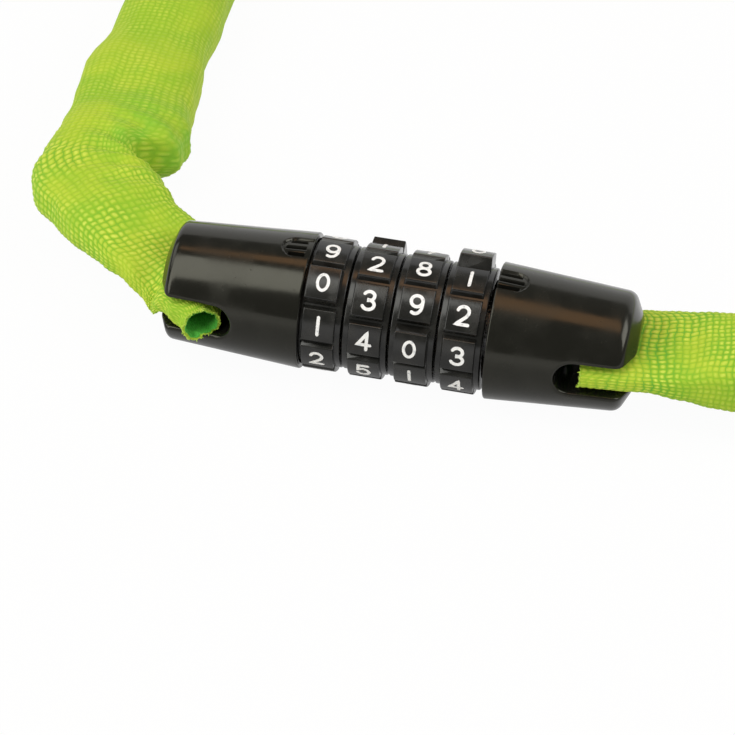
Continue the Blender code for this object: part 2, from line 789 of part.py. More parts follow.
def chain_link(number, start, end, pitch):
    """Return one link between two joints: a round bar bent to a long loop with half-round ends."""
    along = (end - start).normalized()
    side = along.cross(Vector((0.0, 0.0, 1.0))).normalized()
    turn = Matrix.Rotation(math.radians(link_lean(number)), 3, along)
    side = turn @ side
    normal = along.cross(side)
    middle = (start + end) / 2.0
    straight = pitch / 2.0 + LINK_PLAY + WIRE_DIAMETER / 2.0 - LINK_ARC
    loops = []
    for end_sign, first in ((1.0, 90.0), (-1.0, -90.0)):
        for i in range(ARC_STEPS + 1):
            turn = math.radians(first - 180.0 * i / ARC_STEPS)
            outward = side * math.sin(turn) + along * math.cos(turn)
            centre = middle + along * (end_sign * straight) + outward * LINK_ARC
            loop = []
            for k in range(WIRE_SIDES):
                spin = math.tau * k / WIRE_SIDES
                offset = outward * math.cos(spin) + normal * math.sin(spin)
                loop.append(centre + offset * (WIRE_DIAMETER / 2.0))
            loops.append(loop)
    return stacked(f"chain_link_{number + 1:02d}", loops, closed=True)


def blend(value, low, high):
    """Return a smooth step from 0 at low to 1 at high."""
    share = min(max((value - low) / (high - low), 0.0), 1.0)
    return share * share * (3.0 - 2.0 * share)


# Sleeve sections counted from a pin towards the chain: (distance, width, height)
LEFT_SECTIONS = (
    (-0.0122, 0.0092, SLEEVE_SLOT_HEIGHT - SLEEVE_TUCK),
    (-0.0052, 0.0148, SLEEVE_SLOT_HEIGHT),
    (0.0120, 0.0190, SLEEVE_SLOT_HEIGHT),
    (0.0235, SLEEVE_WIDTH, SLEEVE_HEIGHT),
)
RIGHT_SECTIONS = (
    (-0.0054, SLEEVE_WIDTH, SLEEVE_SLOT_HEIGHT),
    (0.0062, SLEEVE_WIDTH, SLEEVE_SLOT_HEIGHT),
    (0.0235, SLEEVE_WIDTH, SLEEVE_HEIGHT),
)


def sleeve_section(sections, distance):
    """Return the sleeve's width and height at a distance from a pin."""
    for (near, width0, height0), (far, width1, height1) in zip(sections, sections[1:]):
        if distance <= far:
            share = blend(distance, near, far)
            return width0 + share * (width1 - width0), height0 + share * (height1 - height0)
    return sections[-1][1:]


def sleeve_stations(route, pin, cut_end, split):
    """Return the route indices of a sleeve's rings, close together near its pin."""
    direction = 1 if split > cut_end else -1
    fine = max(1, round(SLEEVE_END_STEP / route.STEP))
    wide = max(1, round(SLEEVE_STEP / route.STEP))
    edge = pin + direction * round(SLEEVE_END_ZONE / route.STEP)
    stations = list(range(cut_end, edge, direction * fine))
    stations += list(range(edge, split - direction * wide // 2, direction * wide))
    stations.append(split)
    return stations


def flattened(share):
    """Return a share of an oval's half width or height, pushed out so that the oval turns boxier."""
    return math.copysign(abs(share) ** (2.0 / SLEEVE_FLATNESS), share)


def sleeve_ring(route, index, width, height):
    """Return one ring of points round the sleeve: a flat oval across the route."""
    along = route.tangent(index)
    side = along.cross(Vector((0.0, 0.0, 1.0))).normalized()
    upward = side.cross(along)
    ring = []
    for k in range(SLEEVE_SIDES):
        turn = math.tau * k / SLEEVE_SIDES
        across = side * (width / 2.0 * flattened(math.cos(turn)))
        ring.append(route.points[index] + across + upward * (height / 2.0 * flattened(math.sin(turn))))
    return ring


def sleeve(name, route, pin, cut_end, split, sections):
    """Return one half of the cloth sleeve: a tube from its cut end in a slot to the split at the back."""
    outer, inner = [], []
    direction = 1 if split > cut_end else -1
    for index in sleeve_stations(route, pin, cut_end, split):
        distance = direction * (index - pin) * route.STEP
        width, height = sleeve_section(sections, distance)
        outer.append(sleeve_ring(route, index, width, height))
        inner.append(sleeve_ring(route, index, width - 2.0 * FABRIC, height - 2.0 * FABRIC))
    piece = stacked(name, outer + inner[::-1], closed=True)
    hole = post(
        "eyelet", route.points[pin].x, -SLOT_HEIGHT, SLOT_HEIGHT,
        PIN_RADIUS + CLEARANCE, WORKS_SEGMENTS // 2,
    )
    combine(piece, hole, "DIFFERENCE")
    return piece


def chain_pin(name, side):
    """Return the upright pin that an end link hangs on."""
    return post(name, side * PIN_X, -PIN_FOOT, PIN_TOP, PIN_RADIUS, WORKS_SEGMENTS // 2)


def build_lock_body(axis, black, steel):
    """Make the fixed half: left housing, spindle and what sits on the spindle."""
    finish(housing("left_housing", -1.0, left_bore()), black, axis)
    finish(spindle(), steel, axis)
    seat_x = -SPINDLE_START_X + SEAT_GAP
    finish(axis_screw("spindle_screw", -1.0, seat_x), steel, axis)
    finish(wave_washer(), steel, axis)
    finish(retaining_ring(), steel, axis)
    finish(click_spring(), steel, axis)
    finish(chain_pin("left_chain_pin", -1.0), steel, axis)


def build_dials(axis, black, brass):
    """Make the dials and their code rings, each with its origin on the barrel's axis."""
    for index in range(DIAL_COUNT):
        piece = finish(dial(index), black, axis, sharp_angle=20.0)
        piece.location.x = FIRST_DIAL_X + index * DIAL_PITCH + DIAL_WIDTH / 2.0
        ring = finish(code_ring(index), brass, axis)
        ring.location.x = ring_middle(index)


def build_bolt_side(slide, black, steel):
    """Make the half that pulls off: right housing, bolt, screw and pin."""
    finish(housing("right_housing", 1.0, right_bore()), black, slide)
    finish(bolt(), steel, slide)
    finish(axis_screw("bolt_screw", 1.0, SLOT_X - END_WALL), steel, slide)
    finish(chain_pin("right_chain_pin", 1.0), steel, slide)


def build_chain(axis, slide, steel, cloth):
    """Make the chain in its loop and the two halves of its sleeve."""
    route = Route()
    pitch = fit_pitch(route)
    left, loose, right = chain_joints(route, pitch)
    spans = [*zip(left, left[1:]), *zip(loose, loose[1:]), *zip(right, right[1:])]
    for number, (start, end) in enumerate(spans):
        carrier = slide if number >= LEFT_LINKS + 2 else axis
        finish(chain_link(number, start, end, pitch), steel, carrier, sharp_angle=70.0)
    split = route.nearest(loose[1])
    gap = max(1, round(CLEARANCE / route.STEP))
    last = len(route.points) - 1
    left_half = sleeve("sleeve_left", route, route.left_pin, 0, split, LEFT_SECTIONS)
    finish(left_half, cloth, axis, sharp_angle=60.0)
    right_half = sleeve("sleeve_right", route, route.right_pin, last, split + gap, RIGHT_SECTIONS)
    finish(right_half, cloth, slide, sharp_angle=60.0)
    print("chain pitch", round(pitch, 5), "sleeve length", round(route.length, 4))


def main():
    """Build the whole lock."""
    clear_scene()
    black = make_material("black_enamel", (0.012, 0.012, 0.012), 0.22, 0.0)
    dial_black = make_material("dial_black", (0.014, 0.014, 0.014), 0.3, 0.0)
    steel = make_material("steel", (0.56, 0.56, 0.57), 0.35, 1.0)
    brass = make_material("brass", (0.72, 0.52, 0.22), 0.35, 1.0)
    cloth = make_material("lime_cloth", (0.39, 0.61, 0.03), 0.8, 0.0)
    axis = make_empty("barrel_axis", (0.0, AXIS_Y, AXIS_Z))
    slide = make_empty("bolt_slide", (0.0, AXIS_Y, AXIS_Z))
    build_lock_body(axis, black, steel)
    build_dials(axis, dial_black, brass)
    build_bolt_side(slide, black, steel)
    build_chain(axis, slide, steel, cloth)


main()
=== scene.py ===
"""Looks of a four-dial chain lock: gloss black barrel halves, number dials and a woven lime sleeve over the chain.

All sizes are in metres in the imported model's frame: the barrel lies along X, -Y is its front and the floor is
z = 0.  Angles round the barrel are in degrees, start at the front and go up, so that 90 is the top.
"""

import logging
import math
from bisect import bisect_left
from contextlib import contextmanager
from dataclasses import dataclass, field
from enum import Enum
from functools import cached_property
from typing import Any, Iterator, Optional, Sequence

import bmesh
import bpy
from mathutils import Matrix, Vector, noise

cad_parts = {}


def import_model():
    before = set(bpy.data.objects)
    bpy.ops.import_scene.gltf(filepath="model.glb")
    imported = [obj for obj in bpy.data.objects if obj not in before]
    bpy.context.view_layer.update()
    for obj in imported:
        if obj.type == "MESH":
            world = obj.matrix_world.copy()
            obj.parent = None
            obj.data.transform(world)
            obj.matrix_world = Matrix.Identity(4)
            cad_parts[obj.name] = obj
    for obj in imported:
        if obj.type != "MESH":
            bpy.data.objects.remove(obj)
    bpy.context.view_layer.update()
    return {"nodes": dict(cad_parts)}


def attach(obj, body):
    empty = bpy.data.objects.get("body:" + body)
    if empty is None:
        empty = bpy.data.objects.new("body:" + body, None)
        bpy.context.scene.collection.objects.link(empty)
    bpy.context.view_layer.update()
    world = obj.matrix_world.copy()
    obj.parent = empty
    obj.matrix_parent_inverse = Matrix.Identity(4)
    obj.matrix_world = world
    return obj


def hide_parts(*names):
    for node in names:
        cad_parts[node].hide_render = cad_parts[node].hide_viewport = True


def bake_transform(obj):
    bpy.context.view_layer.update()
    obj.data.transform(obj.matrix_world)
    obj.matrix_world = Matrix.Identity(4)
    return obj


LOG = logging.getLogger("chain_lock")
AXIS = Vector((0.0, 0.0002, 0.0129))
QUARTER = math.pi / 2.0
TINY = 1e-6

Colour = tuple[float, float, float]
Pair = tuple[float, float]
Place = tuple[float, float, float]
Span = tuple[float, float, float, float]
Rows = Sequence[Sequence[Vector]]


def smooth(share: float) -> float:
    """Return a smooth step of a share, which is held between 0 and 1."""
    share = min(max(share, 0.0), 1.0)
    return share * share * (3.0 - 2.0 * share)


def ramp(value: float, low: float, high: float) -> float:
    """Return a smooth step from 0 at low to 1 at high."""
    return smooth((value - low) / (high - low))


def bell(offset: float, width: float) -> float:
    """Return a soft bump of height 1 that fades over a width."""
    return math.exp(-((offset / width) ** 2))


def on_barrel(x: float, angle: float, radius: float) -> Vector:
    """Return the place at an angle in degrees and a radius round the barrel's axis."""
    turn = math.radians(angle)
    return AXIS + Vector((x, -radius * math.cos(turn), radius * math.sin(turn)))


def link_to_scene(name: str, mesh: bpy.types.Mesh, finish: bpy.types.Material) -> bpy.types.Object:
    """Make an object with a mesh and a finish.

    Args:
        name: the piece's name.
        mesh: its mesh, with its place in the mesh.
        finish: the material of all its faces.
    Returns:
        The object, linked to the scene at the origin.
    """
    mesh.materials.clear()
    mesh.materials.append(finish)
    piece = bpy.data.objects.new(name, mesh)
    bpy.context.scene.collection.objects.link(piece)
    return piece


def applied(piece: bpy.types.Object) -> bpy.types.Mesh:
    """Work out an object's modifiers.

    Args:
        piece: the object, which keeps its own mesh.
    Returns:
        A new plain mesh.
    """
    graph = bpy.context.evaluated_depsgraph_get()
    graph.update()
    return bpy.data.meshes.new_from_object(piece.evaluated_get(graph), depsgraph=graph)


@contextmanager
def editing(mesh: bpy.types.Mesh) -> Iterator[bmesh.types.BMesh]:
    """Open a mesh for editing and write it back afterwards.

    Args:
        mesh: the mesh to edit.
    Returns:
        The open shape, for a with statement.
    """
    shape = bmesh.new()
    shape.from_mesh(mesh)
    yield shape
    shape.to_mesh(mesh)
    shape.free()


def shade(mesh: bpy.types.Mesh, sharp: float) -> None:
    """Shade a mesh smooth, apart from its sharp edges.

    Args:
        mesh: the mesh.
        sharp: edges over this angle in degrees stay crisp.
    """
    limit = math.radians(sharp)
    with editing(mesh) as shape:
        for face in shape.faces:
            face.smooth = True
        for edge in shape.edges:
            edge.smooth = len(edge.link_faces) == 2 and edge.calc_face_angle(0.0) < limit


class MeshMaker:
    """Gathers strips of points into one mesh and closes its seams."""

    MERGE = 2e-6

    def __init__(self) -> None:
        """Start with no points."""
        self.points: list[Vector] = []
        self.faces: list[tuple[int, int, int, int]] = []
        self.corners: list[Pair] = []

    def strip(self, rows: Rows, closed: bool = False, maps: Optional[Sequence[Sequence[Pair]]] = None) -> None:
        """Add a sheet of four-sided faces between rows of points.

        Args:
            rows: rows of equally many points.
            closed: whether each row is a ring.
            maps: one row of UV pairs for each row of points; a ring's rows have one pair more.
        """
        start = len(self.points)
        count = len(rows[0])
        for row in rows:
            self.points.extend(row)
        spans = count if closed else count - 1
        for i in range(len(rows) - 1):
            for k in range(spans):
                after = (k + 1) % count
                low, high = start + i * count, start + (i + 1) * count
                self.faces.append((low + k, low + after, high + after, high + k))
                if maps:
                    self.corners += [maps[i][k], maps[i][k + 1], maps[i + 1][k + 1], maps[i + 1][k]]

    def turned(self, profile: Sequence[Pair], segments: int) -> None:
        """Add a closed profile turned round the barrel's axis.

        Args:
            profile: (x, radius) of its corners in order.
            segments: how many sides the turned shape has.
        """
        rows = []
        for x, radius in [*profile, profile[0]]:
            rows.append([on_barrel(x, 360.0 * k / segments, radius) for k in range(segments)])
        self.strip(rows, closed=True)

    def mesh(self, name: str, sharp: float) -> bpy.types.Mesh:
        """Make the mesh, with doubles merged and faces outward.

        Args:
            name: the mesh's name.
            sharp: edges over this angle in degrees stay crisp.
        Returns:
            The mesh.
        """
        mesh = bpy.data.meshes.new(name)
        mesh.from_pydata(self.points, [], self.faces)
        if self.corners:
            layer = mesh.uv_layers.new(name="cloth")
            layer.data.foreach_set("uv", [value for pair in self.corners for value in pair])
        with editing(mesh) as shape:
            bmesh.ops.remove_doubles(shape, verts=shape.verts, dist=self.MERGE)
            bmesh.ops.dissolve_degenerate(shape, edges=shape.edges, dist=self.MERGE / 4.0)
            bmesh.ops.recalc_face_normals(shape, faces=shape.faces)
        shade(mesh, sharp)
        return mesh


class FinishTree:
    """Short calls for the shader nodes that the finishes share.

    A finish's grain is a noise's scale and detail, and its span maps its first two values to its last two.
    """

    def __init__(self, name: str) -> None:
        """Make the material with its own Principled shader.

        Args:
            name: the material's name.
        """
        self.material = bpy.data.materials.new(name)
        self.material.use_nodes = True
        self.nodes = self.material.node_tree.nodes
        self.links = self.material.node_tree.links
        self.shader = self.nodes["Principled BSDF"]

    def feed(self, socket: Any, value: Any) -> None:
        """Link a socket to another one, or set its own value.

        Args:
            socket: the input.
            value: an output socket or a constant.
        """
        if isinstance(value, bpy.types.NodeSocket):
            self.links.new(value, socket)
        else:
            socket.default_value = value

    def set(self, name: str, value: Any) -> None:
        """Set or link one of the shader's sockets."""
        self.feed(self.shader.inputs[name], value)

    def calc(self, operation: str, first: Any, second: Any = 0.0, third: Any = 0.0) -> Any:
        """Work out a Math node.

        Args:
            operation: the node's operation.
            first: its first number or socket.
            second: its second one.
            third: its third one.
        Returns:
            The node's output.
        """
        node = self.nodes.new("ShaderNodeMath")
        node.operation = operation
        for socket, value in zip(node.inputs, (first, second, third)):
            self.feed(socket, value)
        return node.outputs[0]

    def mixed(self, share: Any, low: Any, high: Any) -> Any:
        """Mix two colours.

        Args:
            share: 0 for the first colour to 1 for the second.
            low: the first colour or colour socket.
            high: the second one.
        Returns:
            The mixed colour's socket.
        """
        node = self.nodes.new("ShaderNodeMix")
        node.data_type = "RGBA"
        self.feed(node.inputs[0], share)
        self.feed(node.inputs[6], low if isinstance(low, bpy.types.NodeSocket) else (*low, 1.0))
        self.feed(node.inputs[7], high if isinstance(high, bpy.types.NodeSocket) else (*high, 1.0))
        return node.outputs[2]

    def spread(self, value: Any, low: float, high: float, to_low: float = 0.0, to_high: float = 1.0) -> Any:
        """Move a value smoothly from one range to another.

        Args:
            value: the value's socket.
            low: where the first range starts.
            high: where it ends.
            to_low: what its start becomes.
            to_high: what its end becomes.
        Returns:
            The new value's socket.
        """
        node = self.nodes.new("ShaderNodeMapRange")
        node.interpolation_type = "SMOOTHSTEP"
        for socket, number in zip(node.inputs, (value, low, high, to_low, to_high)):
            self.feed(socket, number)
        return node.outputs[0]

    def place(self, scale: Place = (1.0, 1.0, 1.0)) -> Any:
        """Give Object coordinates, stretched by a scale.

        Args:
            scale: the stretch along each axis.
        Returns:
            The coordinates' socket.
        """
        source = self.nodes.new("ShaderNodeTexCoord").outputs["Object"]
        node = self.nodes.new("ShaderNodeMapping")
        self.feed(node.inputs["Vector"], source)
        self.feed(node.inputs["Scale"], scale)
        return node.outputs[0]

    def grain(self, scale: float, detail: float, vector: Any = None) -> Any:
        """Make noise on Object coordinates or on a given vector.

        Args:
            scale: how fine the noise is.
            detail: how many finer layers it has.
            vector: coordinates other than the usual ones.
        Returns:
            The noise's socket, about 0 to 1.
        """
        node = self.nodes.new("ShaderNodeTexNoise")
        self.feed(node.inputs["Vector"], vector or self.place())
        self.feed(node.inputs["Scale"], scale)
        self.feed(node.inputs["Detail"], detail)
        return node.outputs[0]

    def clouds(self, grain: Pair, span: Sequence[float]) -> Any:
        """Return noise of a grain, mapped by a span."""
        return self.spread(self.grain(*grain), *span)

    def relief(self, height: Any, depth: float, strength: float) -> None:
        """Raise the surface.

        Args:
            height: a socket from 0 to 1.
            depth: how high 1 stands, in metres.
            strength: how much of the relief shows.
        """
        node = self.nodes.new("ShaderNodeBump")
        self.feed(node.inputs["Height"], height)
        self.feed(node.inputs["Distance"], depth)
        self.feed(node.inputs["Strength"], strength)
        self.set("Normal", node.outputs[0])


@dataclass(frozen=True)
class GlossEnamel:
    """Black enamel of the barrel halves: deep gloss, a faint ripple and small dull specks."""

    name: str = "gloss_black_enamel"
    colour: Colour = (0.0058, 0.0058, 0.0048)
    haze: Colour = (0.0105, 0.0105, 0.0090)
    roughness: Pair = (0.13, 0.23)
    cloud_grain: Pair = (140.0, 4.0)
    cloud_span: Pair = (0.35, 0.7)
    speck_grain: Pair = (1500.0, 1.0)
    speck_span: Pair = (0.70, 0.78)
    speck_roughness: float = 0.12
    ior: float = 1.46
    tint: Colour = (1.0, 0.98, 0.84)
    ripple: float = 0.000012
    ripple_grain: Pair = (420.0, 2.0)
    ripple_strength: float = 0.5

    def material(self) -> bpy.types.Material:
        """Mix the enamel.

        Returns:
            The material.
        """
        tree = FinishTree(self.name)
        cloud = tree.clouds(self.cloud_grain, self.cloud_span)
        speck = tree.clouds(self.speck_grain, self.speck_span)
        tree.set("Base Color", tree.mixed(cloud, self.colour, self.haze))
        rough = tree.spread(cloud, 0.0, 1.0, *self.roughness)
        tree.set("Roughness", tree.calc("ADD", rough, tree.calc("MULTIPLY", speck, self.speck_roughness)))
        tree.set("IOR", self.ior)
        tree.set("Specular Tint", (*self.tint, 1.0))
        tree.relief(tree.grain(*self.ripple_grain), self.ripple, self.ripple_strength)
        return tree.material


@dataclass(frozen=True)
class DialEnamel:
    """Black finish of the dials: satin gloss with a fine cast grain and rubbed patches."""

    name: str = "dial_black_finish"
    colour: Colour = (0.0075, 0.0075, 0.0066)
    worn: Colour = (0.017, 0.0165, 0.0145)
    roughness: Pair = (0.17, 0.30)
    patch_grain: Pair = (260.0, 4.0)
    patch_span: Pair = (0.38, 0.72)
    ior: float = 1.5
    cast_depth: float = 0.000016
    cast_grain: Pair = (2600.0, 3.0)
    cast_strength: float = 0.4

    def material(self) -> bpy.types.Material:
        """Mix the dial finish.

        Returns:
            The material.
        """
        tree = FinishTree(self.name)
        patch = tree.clouds(self.patch_grain, self.patch_span)
        tree.set("Base Color", tree.mixed(patch, self.colour, self.worn))
        tree.set("Roughness", tree.spread(patch, 0.0, 1.0, *self.roughness))
        tree.set("IOR", self.ior)
        tree.relief(tree.grain(*self.cast_grain), self.cast_depth, self.cast_strength)
        return tree.material


@dataclass(frozen=True)
class NumberPaint:
    """White paint of the numbers on the blocks, thinner and greyer in places."""

    name: str = "number_white_paint"
    colour: Colour = (0.86, 0.87, 0.88)
    thin: Colour = (0.50, 0.52, 0.55)
    roughness: Pair = (0.42, 0.62)
    thin_grain: Pair = (1100.0, 3.0)
    thin_span: Pair = (0.52, 0.76)
    brush_depth: float = 0.00003
    brush_grain: Pair = (2200.0, 2.0)
    brush_strength: float = 0.5

    def material(self) -> bpy.types.Material:
        """Mix the paint.

        Returns:
            The material.
        """
        tree = FinishTree(self.name)
        thin = tree.clouds(self.thin_grain, self.thin_span)
        tree.set("Base Color", tree.mixed(thin, self.colour, self.thin))
        tree.set("Roughness", tree.spread(thin, 0.0, 1.0, *self.roughness))
        tree.relief(tree.grain(*self.brush_grain), self.brush_depth, self.brush_strength)
        return tree.material


@dataclass(frozen=True)
class WovenLime:
    """Coarse plain weave of lime polyester: yarn crowns in rows with painted highlights, over valleys in painted shade.

    Rows are counted along the sleeve from its left end, and yarns round it.
    """

    name: str = "woven_lime_sleeve"
    # Painted shade: the darker green put in the valleys between the yarns.
    valley_shade: Colour = (0.215, 0.470, 0.026)
    # Painted shade and light of wrinkles: random darker and paler patches of yarn near the lock; the colour midway
    # between them is the yarn's own.
    yarn_in_wrinkle_shade: Colour = (0.308, 0.530, 0.025)
    yarn_in_wrinkle_light: Colour = (0.438, 0.592, 0.034)
    # Painted highlight: the paler colour put on the tops of the yarns, where light catches them.
    crown: Colour = (0.670, 0.760, 0.105)
    # Painted shade: the deeper green in the crease at the kink.
    fold: Colour = (0.215, 0.510, 0.034)
    shade: Colour = (0.110, 0.420, 0.040)
    # Painted shade: the darker green put on the inside of the tube.
    lining: Colour = (0.090, 0.480, 0.060)
    specular: float = 0.25
    sheen: float = 0.12
    sheen_tint: Colour = (0.75, 0.95, 0.25)
    yarn_depth: float = 0.00018
    yarn_strength: float = 0.5
    pillow_share: float = 0.9
    fibre_share: float = 0.1
    flatness: float = 0.40
    wander: float = 0.55
    wander_grain: Pair = (420.0, 2.0)
    patch_grain: Pair = (62.0, 2.0)
    patch_span: Span = (0.40, 0.60, 0.30, 1.0)
    slack_grain: Pair = (95.0, 2.0)
    slack_span: Span = (0.38, 0.58, 0.45, 1.0)
    shade_mottle_grain: Pair = (240.0, 3.0)
    shade_mottle_span: Span = (0.35, 0.65, 0.25, 0.85)
    tone_grain: Pair = (105.0, 1.0)
    tone_span: Pair = (0.34, 0.66)
    fibre_grain: Pair = (5200.0, 2.0)
    fibre_span: Span = (0.25, 0.75, 0.6, 1.0)
    valley_shade_span: Span = (0.08, 0.62, 1.0, 0.0)
    crown_highlight_span: Pair = (0.55, 0.95)
    chance_span: Span = (0.0, 1.0, 0.40, 1.0)
    rough_span: Span = (0.0, 1.0, 0.80, 0.58)
    slack_rows: Pair = (630.0, 690.0)
    shade_rows: Pair = (708.0, 724.0)
    tight_rows: Span = (47.0, 58.0, 1.0, 0.5)
    fold_start: Pair = (37.0, 46.0)
    fold_end: Span = (51.0, 66.0, 1.0, 0.0)
    fold_yarns: Span = (7.0, 15.0, 1.0, 0.0)
    fold_turn: Pair = (36.0, 43.0)
    wrinkle_shade_left: Span = (60.0, 105.0, 1.0, 0.3)
    wrinkle_shade_right: Span = (630.0, 690.0, 0.3, 1.0)
    lining_rows: Pair = (3000.0, 3500.0)

    def weave(self, tree: FinishTree, counts: tuple[Any, Any]) -> tuple[Any, Any]:
        """Return the woven yarns' height and a random number for each crossing.

        Args:
            tree: the cloth's shader.
            counts: yarns counted round the sleeve and along it.
        Returns:
            Two sockets, each from 0 to 1.
        """
        cell = tree.nodes.new("ShaderNodeCombineXYZ")
        floors = [tree.calc("FLOOR", count) for count in counts]
        for socket, floor in zip(cell.inputs, floors):
            tree.feed(socket, floor)
        over = tree.calc("PINGPONG", tree.calc("ADD", *floors), 1.0)
        domes = []
        for count, ends in zip(counts, ((self.flatness, 1.0), (1.0, self.flatness))):
            dome = tree.calc("ABSOLUTE", tree.calc("SINE", tree.calc("MULTIPLY", count, math.pi)))
            domes.append(tree.calc("POWER", dome, tree.spread(over, 0.0, 1.0, *ends)))
        chance = tree.nodes.new("ShaderNodeTexWhiteNoise")
        chance.noise_dimensions = "2D"
        tree.feed(chance.inputs["Vector"], cell.outputs[0])
        return tree.calc("MULTIPLY", *domes), chance.outputs["Value"]

    def material(self) -> bpy.types.Material:
        """Weave the cloth, laid out by the sleeve's own UV map, one unit to a yarn.

        Returns:
            The material.
        """
        tree = FinishTree(self.name)
        source = tree.nodes.new("ShaderNodeUVMap")
        source.uv_map = "cloth"
        split = tree.nodes.new("ShaderNodeSeparateXYZ")
        tree.feed(split.inputs[0], source.outputs[0])
        yarns, rows = split.outputs[0], split.outputs[1]
        wander = tree.calc("MULTIPLY", tree.calc("SUBTRACT", tree.grain(*self.wander_grain), 0.5), self.wander)
        pillow, chance = self.weave(tree, tuple(tree.calc("ADD", count, wander) for count in (yarns, rows)))
        fibre = tree.grain(*self.fibre_grain)
        shade_mottle = tree.clouds(self.shade_mottle_grain, self.shade_mottle_span)
        patch = tree.clouds(self.patch_grain, self.patch_span)
        patch = tree.calc("MULTIPLY", patch, tree.spread(rows, *self.tight_rows))
        slack = tree.clouds(self.slack_grain, self.slack_span)
        slack = tree.calc("MULTIPLY", tree.spread(rows, *self.slack_rows), slack)
        open_weave = tree.calc("MAXIMUM", patch, slack)
        # Painted shade in the crease at the kink, on the inner side of the tube, mottled like the shade near the right
        # end.
        fold_shade_mask = tree.calc("MULTIPLY", tree.spread(rows, *self.fold_start), tree.spread(rows, *self.fold_end))
        inner_side = tree.calc("MAXIMUM", tree.spread(yarns, *self.fold_yarns), tree.spread(yarns, *self.fold_turn))
        fold_shade_mask = tree.calc("MULTIPLY", fold_shade_mask, tree.calc("MULTIPLY", inner_side, shade_mottle))
        # Painted shade in the valleys between the yarns, where the weave lies open.
        gap = tree.calc("MULTIPLY", tree.spread(pillow, *self.valley_shade_span), open_weave)
        shaded = tree.calc("MULTIPLY", tree.spread(rows, *self.shade_rows), shade_mottle)
        # Painted shade and light of the wrinkles near the lock, as random patches; further away the yarn keeps its own
        # colour.
        wrinkle_shade_reach = tree.calc("MAXIMUM", tree.spread(rows, *self.wrinkle_shade_left), tree.spread(rows, *self.wrinkle_shade_right))
        tone = tree.clouds(self.tone_grain, self.tone_span)
        tone = tree.calc("MULTIPLY_ADD", tree.calc("SUBTRACT", tone, 0.5), wrinkle_shade_reach, 0.5)
        yarn = tree.mixed(tone, self.yarn_in_wrinkle_shade, self.yarn_in_wrinkle_light)
        ground = tree.mixed(gap, tree.mixed(fold_shade_mask, yarn, self.fold), tree.mixed(shaded, self.valley_shade, self.shade))
        # Painted highlight on the yarn crowns, at random crossings where the weave lies open.
        thread = tree.calc("MULTIPLY", tree.spread(pillow, *self.crown_highlight_span), tree.spread(fibre, *self.fibre_span))
        lit = tree.calc("MULTIPLY", thread, open_weave)
        lit = tree.calc("MULTIPLY", lit, tree.spread(chance, *self.chance_span))
        # Painted shade: the lining inside the tube gets a darker green.
        inside = tree.spread(rows, *self.lining_rows)
        tree.set("Base Color", tree.mixed(inside, tree.mixed(lit, ground, self.crown), self.lining))
        tree.set("Roughness", tree.spread(pillow, *self.rough_span))
        tree.set("Specular IOR Level", self.specular)
        tree.set("Sheen Weight", self.sheen)
        tree.set("Sheen Tint", (*self.sheen_tint, 1.0))
        fibre_height = tree.calc("MULTIPLY", fibre, self.fibre_share)
        height = tree.calc("ADD", tree.calc("MULTIPLY", pillow, self.pillow_share), fibre_height)
        tree.relief(height, self.yarn_depth, self.yarn_strength)
        return tree.material


@dataclass(frozen=True)
class FrayedYarn:
    """Loose polyester threads at the cut ends of the sleeve, finer and paler than the cloth."""

    name: str = "frayed_lime_yarn"
    colour: Colour = (0.36, 0.58, 0.026)
    pale: Colour = (0.52, 0.70, 0.070)
    sheen: float = 0.2
    tone_grain: Pair = (900.0, 2.0)
    tone_span: Pair = (0.35, 0.65)
    rough_grain: Pair = (2400.0, 1.0)
    rough_span: Span = (0.3, 0.7, 0.45, 0.65)

    def material(self) -> bpy.types.Material:
        """Spin the yarn.

        Returns:
            The material.
        """
        tree = FinishTree(self.name)
        tone = tree.clouds(self.tone_grain, self.tone_span)
        tree.set("Base Color", tree.mixed(tone, self.colour, self.pale))
        tree.set("Roughness", tree.clouds(self.rough_grain, self.rough_span))
        tree.set("Sheen Weight", self.sheen)
        return tree.material


@dataclass(frozen=True)
class BareMetal:
    """Plated or turned metal of the works and the chain: streaks along the bar and a little tarnish."""

    name: str
    colour: Colour
    tarnish: Colour
    roughness: Pair = (0.22, 0.42)
    streak: Place = (1.0, 1.0, 1.0)
    cloud_grain: Pair = (180.0, 4.0)
    cloud_span: Pair = (0.35, 0.72)
    line_grain: Pair = (900.0, 2.0)
    line_span: Pair = (0.3, 0.7)
    line_depth: float = 0.00001
    line_strength: float = 0.35

    def material(self) -> bpy.types.Material:
        """Mix the metal.

        Returns:
            The material.
        """
        tree = FinishTree(self.name)
        cloud = tree.clouds(self.cloud_grain, self.cloud_span)
        lines = tree.grain(*self.line_grain, tree.place(self.streak))
        tree.set("Base Color", tree.mixed(cloud, self.colour, self.tarnish))
        tree.set("Metallic", 1.0)
        tree.set("Roughness", tree.spread(lines, *self.line_span, *self.roughness))
        tree.relief(lines, self.line_depth, self.line_strength)
        return tree.material


